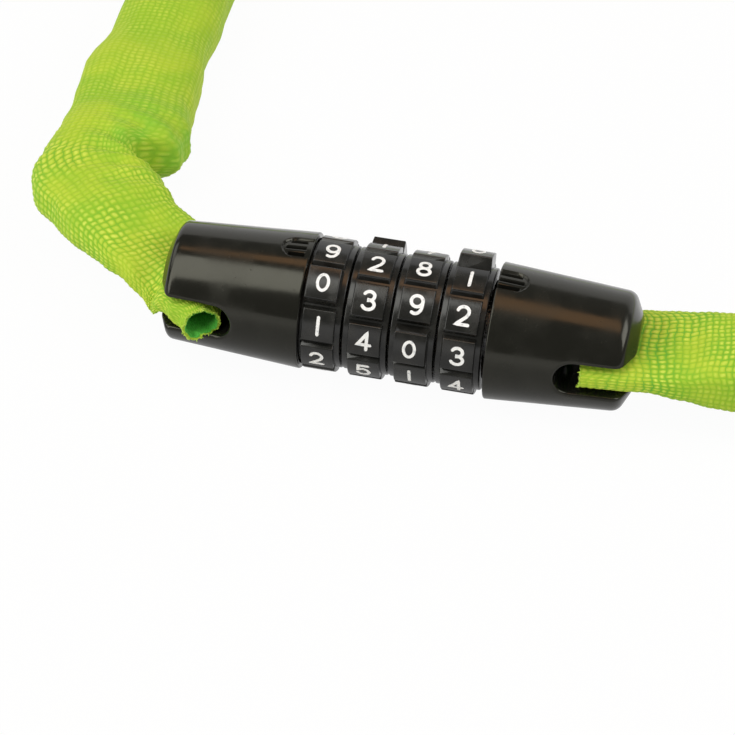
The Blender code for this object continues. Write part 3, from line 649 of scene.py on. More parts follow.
class GeometryTree:
    """A Geometry Nodes tree with named inputs, run once on a mesh and turned into a plain mesh."""

    def __init__(self, name: str, inputs: dict[str, str]) -> None:
        """Make the tree with a geometry input, the named inputs and a geometry output.

        Args:
            name: the tree's name.
            inputs: socket type for each input's name.
        """
        self.tree = bpy.data.node_groups.new(name, "GeometryNodeTree")
        self.tree.interface.new_socket("Shape", in_out="INPUT", socket_type="NodeSocketGeometry")
        for label, kind in {**inputs, "Finish": "NodeSocketMaterial"}.items():
            self.tree.interface.new_socket(label, in_out="INPUT", socket_type=kind)
        self.tree.interface.new_socket("Shape", in_out="OUTPUT", socket_type="NodeSocketGeometry")
        self.start = self.tree.nodes.new("NodeGroupInput").outputs
        self.end = self.tree.nodes.new("NodeGroupOutput").inputs

    def node(self, kind: str, feeds: Optional[dict[Any, Any]] = None, **settings: Any) -> Any:
        """Return a new node.

        Args:
            kind: the node's type name.
            feeds: sockets or values for its inputs, by name or index.
            settings: properties of the node itself.
        Returns:
            The node.
        """
        node = self.tree.nodes.new(kind)
        for key, value in settings.items():
            setattr(node, key, value)
        for key, value in (feeds or {}).items():
            if isinstance(value, bpy.types.NodeSocket):
                self.tree.links.new(value, node.inputs[key])
            else:
                node.inputs[key].default_value = value
        return node

    def close(self, shape: Any) -> None:
        """End the tree: make instances real and give them the finish.

        Args:
            shape: the geometry's socket.
        """
        real = self.node("GeometryNodeRealizeInstances", {0: shape})
        dressed = self.node("GeometryNodeSetMaterial", {0: real.outputs[0], "Material": self.start["Finish"]})
        self.tree.links.new(dressed.outputs[0], self.end[0])

    def run(self, name: str, mesh: bpy.types.Mesh, values: dict[str, Any]) -> bpy.types.Mesh:
        """Return the plain mesh that the tree makes.

        Args:
            name: the new mesh's name.
            mesh: the mesh that the tree works on.
            values: a value for each named input.
        Returns:
            The result, with its place in the mesh.
        """
        carrier = bpy.data.objects.new(name + "_nodes", mesh)
        bpy.context.scene.collection.objects.link(carrier)
        modifier = carrier.modifiers.new(name, "NODES")
        modifier.node_group = self.tree
        for item in self.tree.interface.items_tree:
            if item.in_out == "INPUT" and item.name in values:
                modifier[item.identifier] = values[item.name]
        made = applied(carrier)
        made.name = name
        carrier.modifiers.remove(modifier)
        bpy.data.objects.remove(carrier)
        return made


class Side(Enum):
    """The two halves of the barrel; the value is the sign of X on that side."""

    LEFT = -1.0
    RIGHT = 1.0

    @property
    def body(self) -> str:
        """Return the body that this half belongs to."""
        return "lock_body" if self is Side.LEFT else "bolt_side"

    @property
    def word(self) -> str:
        """Return the side's name for pieces."""
        return self.name.lower()


@dataclass
class Housing:
    """One barrel half: a tapered cap with a bevelled end, a slot with soft edges and an index mark on top.

    The bore's steps are (distance from the mouth, radius), its floor first.  Groove ends are the distances of the
    middle groove and of its neighbours from the index mark's end.
    """

    side: Side
    finish: bpy.types.Material
    bore_steps: tuple[Pair, ...]
    groove_start: float
    mouth_x: float = 0.01745
    length: float = 0.0272
    mouth_radius: float = 0.0129
    end_radius: float = 0.01125
    bevel: float = 0.0022
    bevel_depth: float = 0.0045
    bevel_corner: float = 0.0015
    rim_corner: float = 0.0007
    lip: float = 0.0003
    slot_depth: float = 0.0142
    slot_half: float = 0.0033
    soft_edge: float = 0.0008
    mark_angle: float = 86.0
    mark_length: float = 0.0058
    mark_half: float = 0.0029
    mark_depth: float = 0.0004
    mark_edge: float = 0.0003
    groove_half: float = 0.00055
    groove_pitch: float = 0.0018
    groove_depth: float = 0.0009
    groove_edge: float = 0.00035
    groove_ends: Pair = (0.0008, 0.0014)
    seat_sunk: float = 0.0033
    seat_proud: float = 0.0010
    seat_radius: float = 0.0029
    pin_inset: float = 0.0040
    pin_hole: Pair = (-0.0140, -0.0020)
    pin_hole_radius: float = 0.0016
    drill_sides: int = 32
    lip_steps: int = 4
    mark_step: float = 0.00013
    mark_rows: int = 45
    taper_steps: int = 10
    slot_round_steps: int = 16
    slot_steps: int = 12
    corner_steps: int = 8
    face_steps: int = 8
    edge_steps: int = 7
    wall_steps: int = 6
    coarse_angle: float = 2.5
    fine_angle: float = 0.6
    fine_angles: Pair = (70.0, 103.6)
    back_angles: int = 32
    sharp: float = 35.0

    @property
    def slot_reach(self) -> float:
        """Return half the slot's height with its soft edge."""
        return self.slot_half + self.soft_edge

    @property
    def slot_centre(self) -> float:
        """Return where the middle of the slot's round bottom lies, from the mouth."""
        return self.length - self.slot_depth + self.slot_half

    def radius_at(self, x: float) -> float:
        """Return the barrel's radius at a distance from the mouth, along its straight taper."""
        share = (x - self.lip) / (self.length - self.bevel - self.lip)
        return self.mouth_radius + (self.end_radius - self.mouth_radius) * share

    def skin_radius(self, x: float) -> float:
        """Return the barrel's radius at a distance from the mouth, bevel and all."""
        past = max(x - (self.length - self.bevel), 0.0)
        return self.radius_at(x - past) - past * self.bevel_depth / self.bevel

    @property
    def face_radius(self) -> float:
        """Return the radius of the flat end face."""
        return self.end_radius - self.bevel_depth - self.rim_corner

    def end_profile(self) -> list[Place]:
        """Draw the profile round the bevel's corner, down the bevel and over its rim.

        Returns:
            Rows of (x, radius, normal's lean to the end).
        """
        mouth = Vector((self.lip, self.mouth_radius))
        corner = Vector((self.length - self.bevel, self.end_radius))
        rim = Vector((self.length, self.end_radius - self.bevel_depth))
        rows = []
        for before, middle, after, size in (
            (mouth, corner, rim, self.bevel_corner),
            (corner, rim, Vector((self.length, 0.0)), self.rim_corner),
        ):
            start = middle + size * (before - middle).normalized()
            end = middle + size * (after - middle).normalized()
            for i in range(self.corner_steps + 1):
                share = i / self.corner_steps
                place = start.lerp(middle, share).lerp(middle.lerp(end, share), share)
                way = (middle - start).lerp(end - middle, share)
                rows.append((place.x, place.y, math.atan2(-way.y, way.x)))
        return rows

    def bore(self) -> list[Pair]:
        """Draw the bore, from its floor on the axis to the mouth's lip.

        Returns:
            Rows of (distance from the mouth, radius).
        """
        profile = [(self.bore_steps[0][0], 0.0)]
        for (depth, radius), after in zip(self.bore_steps, [*self.bore_steps[1:], (0.0, 0.0)]):
            profile += [(depth, radius), (after[0], radius)]
        return profile

    def stations(self) -> list[Span]:
        """Draw the outer profile from lip to end face.

        Returns:
            Rows of (x, radius, slot opening, normal's lean to the end).  The slot opening is the height of the
            slot's soft edge above the middle, and 0 before the slot begins.
        """
        reach, centre = self.slot_reach, self.slot_centre
        straight_end = self.length - self.bevel - self.bevel_corner
        taper = math.atan2(self.mouth_radius - self.end_radius, self.length - self.bevel - self.lip)
        rows = []
        for i in range(self.lip_steps + 1):
            turn = QUARTER * i / self.lip_steps
            x = self.lip * (1.0 - math.sin(QUARTER - turn))
            rows.append((x, self.mouth_radius - self.lip * (1.0 - math.sin(turn)), 0.0, 0.0))
        near = [self.lip + self.mark_step * i for i in range(1, self.mark_rows + 1)]
        left = centre - reach - near[-1]
        near += [near[-1] + left * i / self.taper_steps for i in range(1, self.taper_steps)]
        rows += [(x, self.radius_at(x), 0.0, taper) for x in near]
        for i in range(self.slot_round_steps + 1):
            turn = QUARTER * i / self.slot_round_steps
            x = centre - reach * math.cos(turn)
            rows.append((x, self.radius_at(x), reach * math.sin(turn), taper))
        for i in range(1, self.slot_steps):
            x = centre + (straight_end - centre) * i / self.slot_steps
            rows.append((x, self.radius_at(x), reach, taper))
        rows += [(x, radius, reach, lean) for x, radius, lean in self.end_profile()]
        half_face = math.sqrt(self.face_radius ** 2 - reach ** 2)
        for i in range(1, self.face_steps + 1):
            rows.append((self.length, math.hypot(reach, half_face * (1.0 - i / self.face_steps)), reach, QUARTER))
        return rows

    def mark_sink(self, x: float, across: float) -> float:
        """Tell how deep the index mark lies.

        Args:
            x: distance from the mouth.
            across: distance from the mark's middle, round the barrel.
        Returns:
            The depth under the barrel's skin.
        """
        bend = self.mark_length - self.mark_half
        edge = self.mark_half - (abs(across) if x < bend else math.hypot(x - bend, across))
        sink = self.mark_depth * smooth(edge / self.mark_edge)
        for k in (-1, 0, 1):
            middle = across - k * self.groove_pitch
            far = self.mark_length - self.groove_ends[abs(k)]
            inside = min(self.groove_half - abs(middle), far - x, x - self.groove_start)
            sink += self.groove_depth * smooth(inside / self.groove_edge)
        return sink

    def rows_of_angles(self) -> list[float]:
        """Choose where the points of a half ring stand.

        Returns:
            Shares of the half turn, close together round the index mark.
        """
        low, high = self.fine_angles
        angles = [self.coarse_angle * i for i in range(round(low / self.coarse_angle))]
        angles += [low + self.fine_angle * i for i in range(round((high - low) / self.fine_angle) + 1)]
        angles += [high + (180.0 - high) * i / self.back_angles for i in range(1, self.back_angles + 1)]
        return [angle / 180.0 for angle in angles]

    def placed(self, x: float, y: float, z: float) -> Vector:
        """Return a place given from the mouth and the axis, on this half's side."""
        return AXIS + Vector((self.side.value * (self.mouth_x + x), y, z))

    def edge_point(self, station: Span, share: float) -> Place:
        """Return a point of the front's soft slot edge.

        Args:
            station: one row of stations(), in the slot.
            share: 0 on the barrel's skin to 1 on the slot's wall.
        Returns:
            x from the mouth, y and z from the axis.
        """
        x, radius, opening, lean = station
        turn = QUARTER * share
        offset = self.soft_edge * (1.0 - math.sin(turn))
        drop = self.soft_edge * (1.0 - math.cos(turn))
        reach, centre = self.slot_reach, self.slot_centre
        if x < centre:
            angle = math.asin(min(opening / reach, 1.0))
            x = centre - (self.slot_half + offset) * math.cos(angle)
            radius = self.radius_at(x)
            z = (self.slot_half + offset) * math.sin(angle)
        else:
            z = self.slot_half + offset
        if lean > QUARTER - TINY:
            stretch = math.sqrt(self.face_radius ** 2 - z ** 2) / math.sqrt(self.face_radius ** 2 - reach ** 2)
            y = -math.sqrt(max(radius ** 2 - reach ** 2, 0.0)) * stretch
            return x - drop, y, z
        y = -math.sqrt(radius ** 2 - z ** 2)
        outward = Vector((math.sin(lean), math.cos(lean) * y / radius, 0.0)).normalized()
        return x - drop * outward.x, y - drop * outward.y, z

    def half(self, maker: MeshMaker, up: float) -> None:
        """Add the upper or lower half of the cap.

        Args:
            maker: gathers the faces.
            up: 1 for the upper half, -1 for the lower one.
        """
        shares = self.rows_of_angles()
        turns = [math.pi * share for share in shares]
        skin = []
        for x, radius in self.bore():
            skin.append([self.placed(x, -radius * math.cos(turn), up * radius * math.sin(turn)) for turn in turns])
        stations = self.stations()
        for x, radius, opening, _ in stations:
            first = math.asin(min(opening / radius, 1.0))
            row = []
            for share in shares:
                turn = first + (math.pi - 2.0 * first) * share
                r = radius
                if up > 0.0 and x < self.mark_length + self.mark_edge:
                    r -= self.mark_sink(x, math.radians(math.degrees(turn) - self.mark_angle) * radius)
                row.append(self.placed(x, -r * math.cos(turn), up * r * math.sin(turn)))
            skin.append(row)
        maker.strip(skin)
        pairs = zip(stations, [*stations[1:], stations[-1]])
        slot = [station for station, after in pairs if max(station[2], after[2]) > 0.0]
        steps = [i / self.edge_steps for i in range(self.edge_steps + 1)]
        fronts = [[self.edge_point(station, share) for share in steps] for station in slot]
        for way in (1.0, -1.0):
            maker.strip([[self.placed(x, way * y, up * z) for x, y, z in row] for row in fronts])
        spans = [1.0 - 2.0 * k / self.wall_steps for k in range(self.wall_steps + 1)]
        maker.strip([[self.placed(x, y * span, up * z) for span in spans] for *_, (x, y, z) in fronts])

    def drilled(self, piece: bpy.types.Object) -> None:
        """Cut the screw's seat at the slot's bottom and the pin's hole under the lower jaw.

        Args:
            piece: the cap.
        """
        bottom, pin = self.length - self.slot_depth, self.length - self.pin_inset
        seat = [self.placed(x, 0.0, 0.0) for x in (bottom - self.seat_sunk, bottom + self.seat_proud)]
        hole = [self.placed(pin, 0.0, z) for z in self.pin_hole]
        for (start, end), radius in ((seat, self.seat_radius), (hole, self.pin_hole_radius)):
            tool = bpy.data.meshes.new("drill")
            turn = Vector((0.0, 0.0, 1.0)).rotation_difference(end - start).to_matrix().to_4x4()
            with editing(tool) as shape:
                bmesh.ops.create_cone(
                    shape,
                    cap_ends=True,
                    segments=self.drill_sides,
                    radius1=radius,
                    radius2=radius,
                    depth=(end - start).length,
                )
                shape.transform(Matrix.Translation((start + end) / 2.0) @ turn)
            drill = link_to_scene("drill_" + self.side.word, tool, self.finish)
            cut = piece.modifiers.new("drill", "BOOLEAN")
            cut.operation, cut.object, cut.solver = "DIFFERENCE", drill, "EXACT"
            made = applied(piece)
            piece.modifiers.remove(cut)
            piece.data = made
            bpy.data.objects.remove(drill)

    def build(self) -> bpy.types.Object:
        """Build the cap, riding on its body in place of the plain solid.

        Returns:
            The cap.
        """
        maker = MeshMaker()
        for up in (1.0, -1.0):
            self.half(maker, up)
        name = self.side.word + "_cap"
        piece = link_to_scene(name, maker.mesh(name, self.sharp), self.finish)
        self.drilled(piece)
        shade(piece.data, self.sharp)
        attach(piece, self.side.body)
        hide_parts(self.side.word + "_housing")
        return piece


@dataclass
class NumberShapes:
    """Stroke paths of the ten numbers, drawn for a box two units wide and two units high round its middle."""

    width: float = 0.00118
    height: float = 0.00168
    pen: float = 0.00033
    step: float = 0.0003
    sharpest: float = 0.55
    cap_turns: tuple[float, ...] = (0.0, 0.5, 0.95, 1.3, 1.5)

    @staticmethod
    def bow(centre: Pair, size: Pair, start: float, end: float, steps: int) -> list[Pair]:
        """Return points of an oval arc.

        Args:
            centre: the oval's middle.
            size: its half width and half height.
            start: first angle in degrees, 0 to the right and 90 up.
            end: last angle in degrees.
            steps: how many pieces the arc has.
        Returns:
            The points in order.
        """
        turns = [math.radians(start + (end - start) * i / steps) for i in range(steps + 1)]
        return [(centre[0] + size[0] * math.cos(t), centre[1] + size[1] * math.sin(t)) for t in turns]

    def strokes(self, digit: int) -> list[list[Pair]]:
        """Draw one number.

        Args:
            digit: the number.
        Returns:
            The paths of its strokes.
        """
        bow = self.bow
        shapes = {
            0: [bow((0, 0), (0.95, 1.0), 90, 450, 32)],
            1: [[(0.0, 1.0), (0.0, -1.0)]],
            2: [bow((0, 0.42), (0.88, 0.58), 165, -22, 18) + [(0.55, -0.12), (-0.9, -1.0), (0.95, -1.0)]],
            3: [bow((-0.05, 0.5), (0.82, 0.5), 155, -90, 16) + bow((-0.05, -0.47), (0.95, 0.53), 90, -155, 18)],
            4: [[(0.45, -1.0), (0.45, 1.0), (-0.95, -0.42), (1.0, -0.42)]],
            5: [[(0.8, 1.0), (-0.68, 1.0), (-0.8, 0.05)] + bow((0.0, -0.34), (0.95, 0.66), 140, -155, 20)],
            6: [bow((0.1, 0.15), (1.0, 0.85), 62, 180, 12) + bow((0.0, -0.38), (0.92, 0.62), 180, -180, 26)],
            7: [[(-0.9, 1.0), (0.92, 1.0), (0.5, 0.3), (0.05, -0.35), (-0.2, -1.0)]],
            8: [bow((0, 0.51), (0.78, 0.49), -90, 270, 24), bow((0, -0.49), (0.95, 0.51), 90, 450, 26)],
            9: [bow((-0.1, -0.15), (1.0, 0.85), -118, 0, 12) + bow((0.0, 0.38), (0.92, 0.62), 0, 360, 26)],
        }
        return shapes[digit]

    def outline(self, path: Sequence[Pair]) -> list[tuple[Pair, Pair]]:
        """Give a stroke its width and round ends.

        Args:
            path: the stroke's path.
        Returns:
            Pairs of left and right edge points, in metres.
        """
        corners = [Vector((x * self.width, y * self.height)) for x, y in path]
        centre = corners[:1]
        for start, end in zip(corners, corners[1:]):
            pieces = max(1, math.ceil((end - start).length / self.step))
            centre += [start.lerp(end, (k + 1) / pieces) for k in range(pieces)]
        closed = (centre[0] - centre[-1]).length < TINY
        edges = []
        for i, point in enumerate(centre):
            before = centre[i - 1] if i else (centre[-2] if closed else None)
            after = centre[i + 1] if i + 1 < len(centre) else (centre[1] if closed else None)
            spans = ((before, point), (point, after))
            ways = [(end - start).normalized() for start, end in spans if start is not None and end is not None]
            along = sum(ways, Vector((0.0, 0.0))).normalized()
            normal = Vector((-along.y, along.x))
            spread = self.pen / max(normal.dot(Vector((-ways[0].y, ways[0].x))), self.sharpest)
            caps = [(0.0, spread)]
            if not closed and i in (0, len(centre) - 1):
                sign = -1.0 if i == 0 else 1.0
                caps = [(sign * self.pen * math.sin(t), self.pen * math.cos(t)) for t in self.cap_turns]
                caps = caps[::-1] if i == 0 else caps
            for ahead, half in caps:
                middle = point + along * ahead
                edges.append((tuple(middle + normal * half), tuple(middle - normal * half)))
        return edges


@dataclass
class Dial:
    """One number dial: a drum with rounded rims, nine blocks, a taller block for nought, and painted numbers.

    Block rows are shares of a block's half height.  A stroke's section is (share of its width, height over the face).
    """

    number: int
    code: int
    turn: float
    finish: bpy.types.Material
    paint: bpy.types.Material
    shapes: NumberShapes
    blocks: GeometryTree
    first_middle: float = -0.0138
    pitch: float = 0.00875
    width: float = 0.0084
    drum_radius: float = 0.0115
    drum_bore: float = 0.0093
    shoulder: float = 0.0074
    shoulder_depth: float = 0.0013
    rim_round: float = 0.00025
    block_face: float = 0.0125
    tab_face: float = 0.0142
    block_half: float = 0.0031
    face_left: float = -0.00295
    face_right: float = 0.0031
    left_slope: float = 0.00040
    end_taper: float = 0.0002
    crown: float = 0.0145
    block_edge: float = 0.00017
    block_edge_steps: int = 3
    block_rows: tuple[float, ...] = (-1.0, -0.92, -0.67, -0.33, 0.0, 0.33, 0.67, 0.92, 1.0)
    face_border: float = 0.00024
    right_slope: float = 0.0001
    foot_depth: float = 0.0011
    foot_margin: float = 1e-5
    crisp: float = 0.6
    plain_blocks: int = 9
    code_angle: float = 83.0
    digit_step: float = 36.0
    tab_scale: float = 0.9
    stroke_section: tuple[Pair, ...] = (
        (0.0, -0.00006), (0.04, 0.000035), (0.3, 0.00002), (0.7, 0.00002), (0.96, 0.000035), (1.0, -0.00006),
    )
    rim_turns: tuple[float, ...] = (0.0, 0.4, 0.8, 1.2, QUARTER)
    drum_sides: int = 144
    sharp: float = 40.0
    number_sharp: float = 50.0

    @property
    def middle(self) -> float:
        """Return the dial's place along the barrel."""
        return self.first_middle + (self.number - 1) * self.pitch

    @property
    def centre(self) -> Place:
        """Return the dial's middle on the barrel's axis."""
        return self.middle, AXIS.y, AXIS.z

    def angle(self, digit: int) -> float:
        """Return where a number stands round the barrel."""
        return self.code_angle + self.turn - self.digit_step * (digit - self.code)

    def drum(self) -> bpy.types.Mesh:
        """Turn the ring under the blocks.

        Returns:
            The ring's mesh.
        """
        half, top = self.width / 2.0, self.drum_radius
        corner = [(self.rim_round * (1.0 - math.cos(t)), self.rim_round * (1.0 - math.sin(t))) for t in self.rim_turns]
        profile = [(-half, self.shoulder)]
        profile += [(-half + a, top - b) for a, b in corner]
        profile += [(half - a, top - b) for a, b in reversed(corner)]
        step = -half + self.shoulder_depth
        profile += [(half, self.drum_bore), (step, self.drum_bore), (step, self.shoulder)]
        maker = MeshMaker()
        maker.turned([(self.middle + x, radius) for x, radius in profile], self.drum_sides)
        return maker.mesh(f"drum_{self.number}", self.sharp)

    def face_height(self, face: float, up: float) -> float:
        """Return the crowned face's distance from the axis at a height above the block's middle."""
        return face - self.crown + math.sqrt(self.crown ** 2 - up ** 2)

    def block(self, face: float) -> bpy.types.Mesh:
        """Make one block with soft edges, facing the front, its foot sunk in the drum.

        Args:
            face: distance of its face from the axis.
        Returns:
            The block's mesh.
        """
        foot = self.drum_radius - self.foot_depth
        rim = (self.face_right, self.face_right - self.face_border, self.face_left + self.face_border, self.face_left)
        rings = []
        for share in self.block_rows:
            up = self.block_half * share
            low = up * (1.0 + self.end_taper / self.block_half * (2.0 if abs(share) == 1.0 else 1.0))
            height = self.face_height(face, up)
            ring = [(self.face_left - self.left_slope, -foot, low), (self.face_right + self.right_slope, -foot, low)]
            rings.append(ring + [(x, -height, up) for x in rim])
        mesh = bpy.data.meshes.new("block")
        with editing(mesh) as shape:
            columns = [[shape.verts.new(Vector(place)) for place in ring] for ring in rings]
            for low, high in zip(columns, columns[1:]):
                for k in range(len(low)):
                    after = (k + 1) % len(low)
                    shape.faces.new((low[k], low[after], high[after], high[k]))
            shape.faces.new(columns[0][::-1])
            shape.faces.new(columns[-1])
            bmesh.ops.recalc_face_normals(shape, faces=shape.faces)
            above_foot = -foot - self.foot_margin
            crisp = [
                edge
                for edge in shape.edges
                if edge.calc_face_angle(0.0) > self.crisp and min(corner.co.y for corner in edge.verts) < above_foot
            ]
            bmesh.ops.bevel(
                shape,
                geom=crisp,
                offset=self.block_edge,
                segments=self.block_edge_steps,
                profile=0.5,
                affect="EDGES",
                clamp_overlap=True,
            )
        return mesh

    def solid(self) -> bpy.types.Object:
        """Join the drum and its ring of blocks.

        Returns:
            One object.
        """
        ring = self.blocks.run(
            f"dial_{self.number}_blocks",
            self.block(self.block_face),
            {
                "Count": self.plain_blocks,
                "Start": math.radians(-self.angle(1)),
                "Step": math.radians(self.digit_step),
                "Middle": self.centre,
                "Finish": self.finish,
            },
        )
        tab = self.block(self.tab_face)
        tab.transform(Matrix.Translation(self.centre) @ Matrix.Rotation(math.radians(-self.angle(0)), 4, "X"))
        name = f"dial_{self.number}_ring"
        made = bpy.data.meshes.new(name)
        drum = self.drum()
        with editing(made) as shape:
            for mesh in (drum, ring, tab):
                shape.from_mesh(mesh)
        shade(made, self.sharp)
        return link_to_scene(name, made, self.finish)

    def numbers(self) -> bpy.types.Object:
        """Paint the ten numbers on the crowned faces.

        Returns:
            One object.
        """
        maker = MeshMaker()
        centre = Vector((self.middle + (self.face_left + self.face_right) / 2.0, AXIS.y, AXIS.z))
        for digit in range(self.plain_blocks + 1):
            face = self.tab_face if digit == 0 else self.block_face
            scale = self.tab_scale if digit == 0 else 1.0
            turn = Matrix.Rotation(math.radians(-self.angle(digit)), 3, "X")
            for path in self.shapes.strokes(digit):
                rows = []
                for left, right in self.shapes.outline(path):
                    row = []
                    for share, lift in self.stroke_section:
                        across = left[0] + (right[0] - left[0]) * share
                        up = (left[1] + (right[1] - left[1]) * share) * scale
                        height = self.face_height(face, up) + lift
                        row.append(centre + turn @ Vector((across * scale, -height, up)))
                    rows.append(row)
                maker.strip(rows)
                maker.strip([[row[0], row[-1]] for row in rows])
        name = f"dial_{self.number}_numbers"
        return link_to_scene(name, maker.mesh(name, self.number_sharp), self.paint)

    def build(self) -> list[bpy.types.Object]:
        """Build the ring and its numbers, riding on the dial's body.

        Returns:
            Both objects.
        """
        pieces = [self.solid(), self.numbers()]
        for piece in pieces:
            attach(piece, f"dial_{self.number}_body")
        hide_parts(f"dial_{self.number}")
        return pieces


def ring_of_blocks() -> GeometryTree:
    """Make the tree that sets a block round the barrel again and again.

    Returns:
        The tree.
    """
    tree = GeometryTree(
        "ring_of_blocks",
        {"Count": "NodeSocketInt", "Start": "NodeSocketFloat", "Step": "NodeSocketFloat", "Middle": "NodeSocketVector"},
    )
    points = tree.node("GeometryNodePoints", {"Count": tree.start["Count"], "Position": tree.start["Middle"]})
    index = tree.node("GeometryNodeInputIndex")
    turn = tree.node(
        "ShaderNodeMath",
        {0: index.outputs[0], 1: tree.start["Step"], 2: tree.start["Start"]},
        operation="MULTIPLY_ADD",
    )
    euler = tree.node("ShaderNodeCombineXYZ", {"X": turn.outputs[0]})
    rotation = tree.node("FunctionNodeEulerToRotation", {0: euler.outputs[0]})
    placed = tree.node(
        "GeometryNodeInstanceOnPoints",
        {"Points": points.outputs[0], "Instance": tree.start["Shape"], "Rotation": rotation.outputs[0]},
    )
    tree.close(placed.outputs[0])
    return tree


def loose_threads() -> GeometryTree:
    """Make the tree that sets a thin tapering thread on every point, each turned and sized at random.

    Returns:
        The tree.
    """
    tip_radius = 0.00004
    tilts = ((-0.9, -0.9, -3.0), (0.9, 0.9, 3.0))
    scales = ((0.6, 0.6, 0.45), (1.3, 1.3, 1.15))
    inputs = {"Length": "NodeSocketFloat", "Radius": "NodeSocketFloat", "Seed": "NodeSocketInt"}
    tree = GeometryTree("loose_threads", inputs)
    thread = tree.node(
        "GeometryNodeMeshCone",
        {
            "Vertices": 5,
            "Side Segments": 2,
            "Radius Top": tip_radius,
            "Radius Bottom": tree.start["Radius"],
            "Depth": tree.start["Length"],
        },
    )
    way = tree.node("GeometryNodeInputNamedAttribute", {"Name": "way"}, data_type="FLOAT_VECTOR")
    aim = tree.node("FunctionNodeAlignRotationToVector", {"Vector": way.outputs[0]}, axis="Z")
    tilt, size = (
        tree.node("FunctionNodeRandomValue", {0: low, 1: high, "Seed": tree.start["Seed"]}, data_type="FLOAT_VECTOR")
        for low, high in (tilts, scales)
    )
    lean = tree.node("FunctionNodeEulerToRotation", {0: tilt.outputs[0]})
    turned = tree.node("FunctionNodeRotateRotation", {0: aim.outputs[0], 1: lean.outputs[0]}, rotation_space="LOCAL")
    placed = tree.node(
        "GeometryNodeInstanceOnPoints",
        {
            "Points": tree.start["Shape"],
            "Instance": thread.outputs[0],
            "Rotation": turned.outputs[0],
            "Scale": size.outputs[0],
        },
    )
    tree.close(placed.outputs[0])
    return tree


class CentreLine:
    """A line of close points on which a place is the distance walked from its start."""

    FEWEST = 8

    def __init__(self, route: Sequence[Vector], step: float) -> None:
        """Lay the smooth curve through a route and measure it.

        Args:
            route: the points that the curve runs through.
            step: how far apart the line's points lie.
        """
        self.points: list[Vector] = []
        padded = [2.0 * route[0] - route[1], *route, 2.0 * route[-1] - route[-2]]
        for before, start, end, after in zip(padded, padded[1:], padded[2:], padded[3:]):
            pieces = max(self.FEWEST, round((end - start).length / step))
            for k in range(pieces):
                t = k / pieces
                bend = 2.0 * before - 5.0 * start + 4.0 * end - after
                twist = 3.0 * start - before - 3.0 * end + after
                self.points.append(0.5 * (2.0 * start + t * (end - before) + t * t * bend + t ** 3 * twist))
        self.points.append(route[-1])
        self.walked = [0.0]
        for start, end in zip(self.points, self.points[1:]):
            self.walked.append(self.walked[-1] + (end - start).length)
        self.total = self.walked[-1]

    def nearest(self, x: float) -> float:
        """Return the place of the line's point nearest to a spot on the barrel's axis."""
        spot = Vector((x, 0.0, 0.0))
        return self.walked[min(range(len(self.points)), key=lambda i: (self.points[i] - AXIS - spot).length)]

    def frame(self, place: float, reach: int) -> tuple[Vector, Vector, Vector, Vector]:
        """Return the point at a place and the directions there.

        Args:
            place: the distance walked.
            reach: how many points on either side give the line's direction.
        Returns:
            The point, and the directions to the loop's inside, upward and along the line.
        """
        index = min(bisect_left(self.walked, place, 1) - 1, len(self.walked) - 2)
        share = (place - self.walked[index]) / (self.walked[index + 1] - self.walked[index])
        centre = self.points[index].lerp(self.points[index + 1], share)
        low, high = max(index - reach, 0), min(index + reach + 1, len(self.points) - 1)
        along = (self.points[high] - self.points[low]).normalized()
        side = along.cross(Vector((0.0, 0.0, 1.0))).normalized()
        return centre, side, side.cross(along), along


@dataclass(frozen=True)
class ClothFolds:
    """Wrinkles of the sleeve: ripples, bulges over the links, pleats in the bend and a crease at the kink.

    Places are distances from the left pin.  A side is a share across the tube, -1 at the loop's outside to 1 at its
    inside, and a top a share up the tube; between its two values a fold grows from nothing to its full size.
    """

    free_left: Pair = (0.012, 0.026)
    free_right: Pair = (0.010, 0.024)
    ripple: float = 0.00055
    ripple_grain: Place = (55.0, 1.3, 1.1)
    fine_ripple: float = 0.00030
    fine_grain: float = 2.7
    bulge: float = 0.00035
    bulge_pitch: float = 0.0270
    pleat: float = 0.00060
    pleat_pitch: float = 0.0062
    pleat_slant: float = 0.004
    pleat_place: float = 0.043
    pleat_width: float = 0.016
    pleat_side: Pair = (-0.7, 0.6)
    crease: float = 0.0008
    crease_place: float = 0.0475
    crease_slant: float = 0.0065
    crease_width: float = 0.0026
    crease_side: Pair = (0.35, 0.90)
    crease_top: Pair = (-0.3, 0.4)

    def height(self, from_left: float, from_right: float, across: float, up: float) -> float:
        """Return how far the cloth stands out of its even shape.

        Args:
            from_left: distance from the left pin.
            from_right: distance from the right pin.
            across: place across the tube, -1 at the loop's outside to 1 at its inside.
            up: place up the tube, -1 to 1.
        Returns:
            The offset along the tube's own outward direction.
        """
        free = ramp(from_left, *self.free_left) * ramp(from_right, *self.free_right)
        seed = Vector([part * grain for part, grain in zip((from_left, across, up), self.ripple_grain)])
        offset = self.ripple * noise.noise(seed) + self.fine_ripple * noise.noise(seed * self.fine_grain)
        offset += self.bulge * math.cos(math.tau * from_left / self.bulge_pitch)
        gather = bell(from_left - self.pleat_place, self.pleat_width) * ramp(across, *self.pleat_side)
        wave = math.tau * (from_left + self.pleat_slant * across) / self.pleat_pitch
        offset += self.pleat * gather * math.sin(wave)
        past = from_left - self.crease_place + self.crease_slant * (1.0 - across)
        crease = self.crease * bell(past, self.crease_width)
        offset -= crease * ramp(across, *self.crease_side) * ramp(up, *self.crease_top)
        return offset * free


@dataclass
class Skin:
    """One face of the cloth: its gap to what it touches, its first row of weave, its rings and their UV pairs."""

    gap: float
    first_row: float
    rings: list[list[Vector]] = field(default_factory=list)
    maps: list[list[Pair]] = field(default_factory=list)


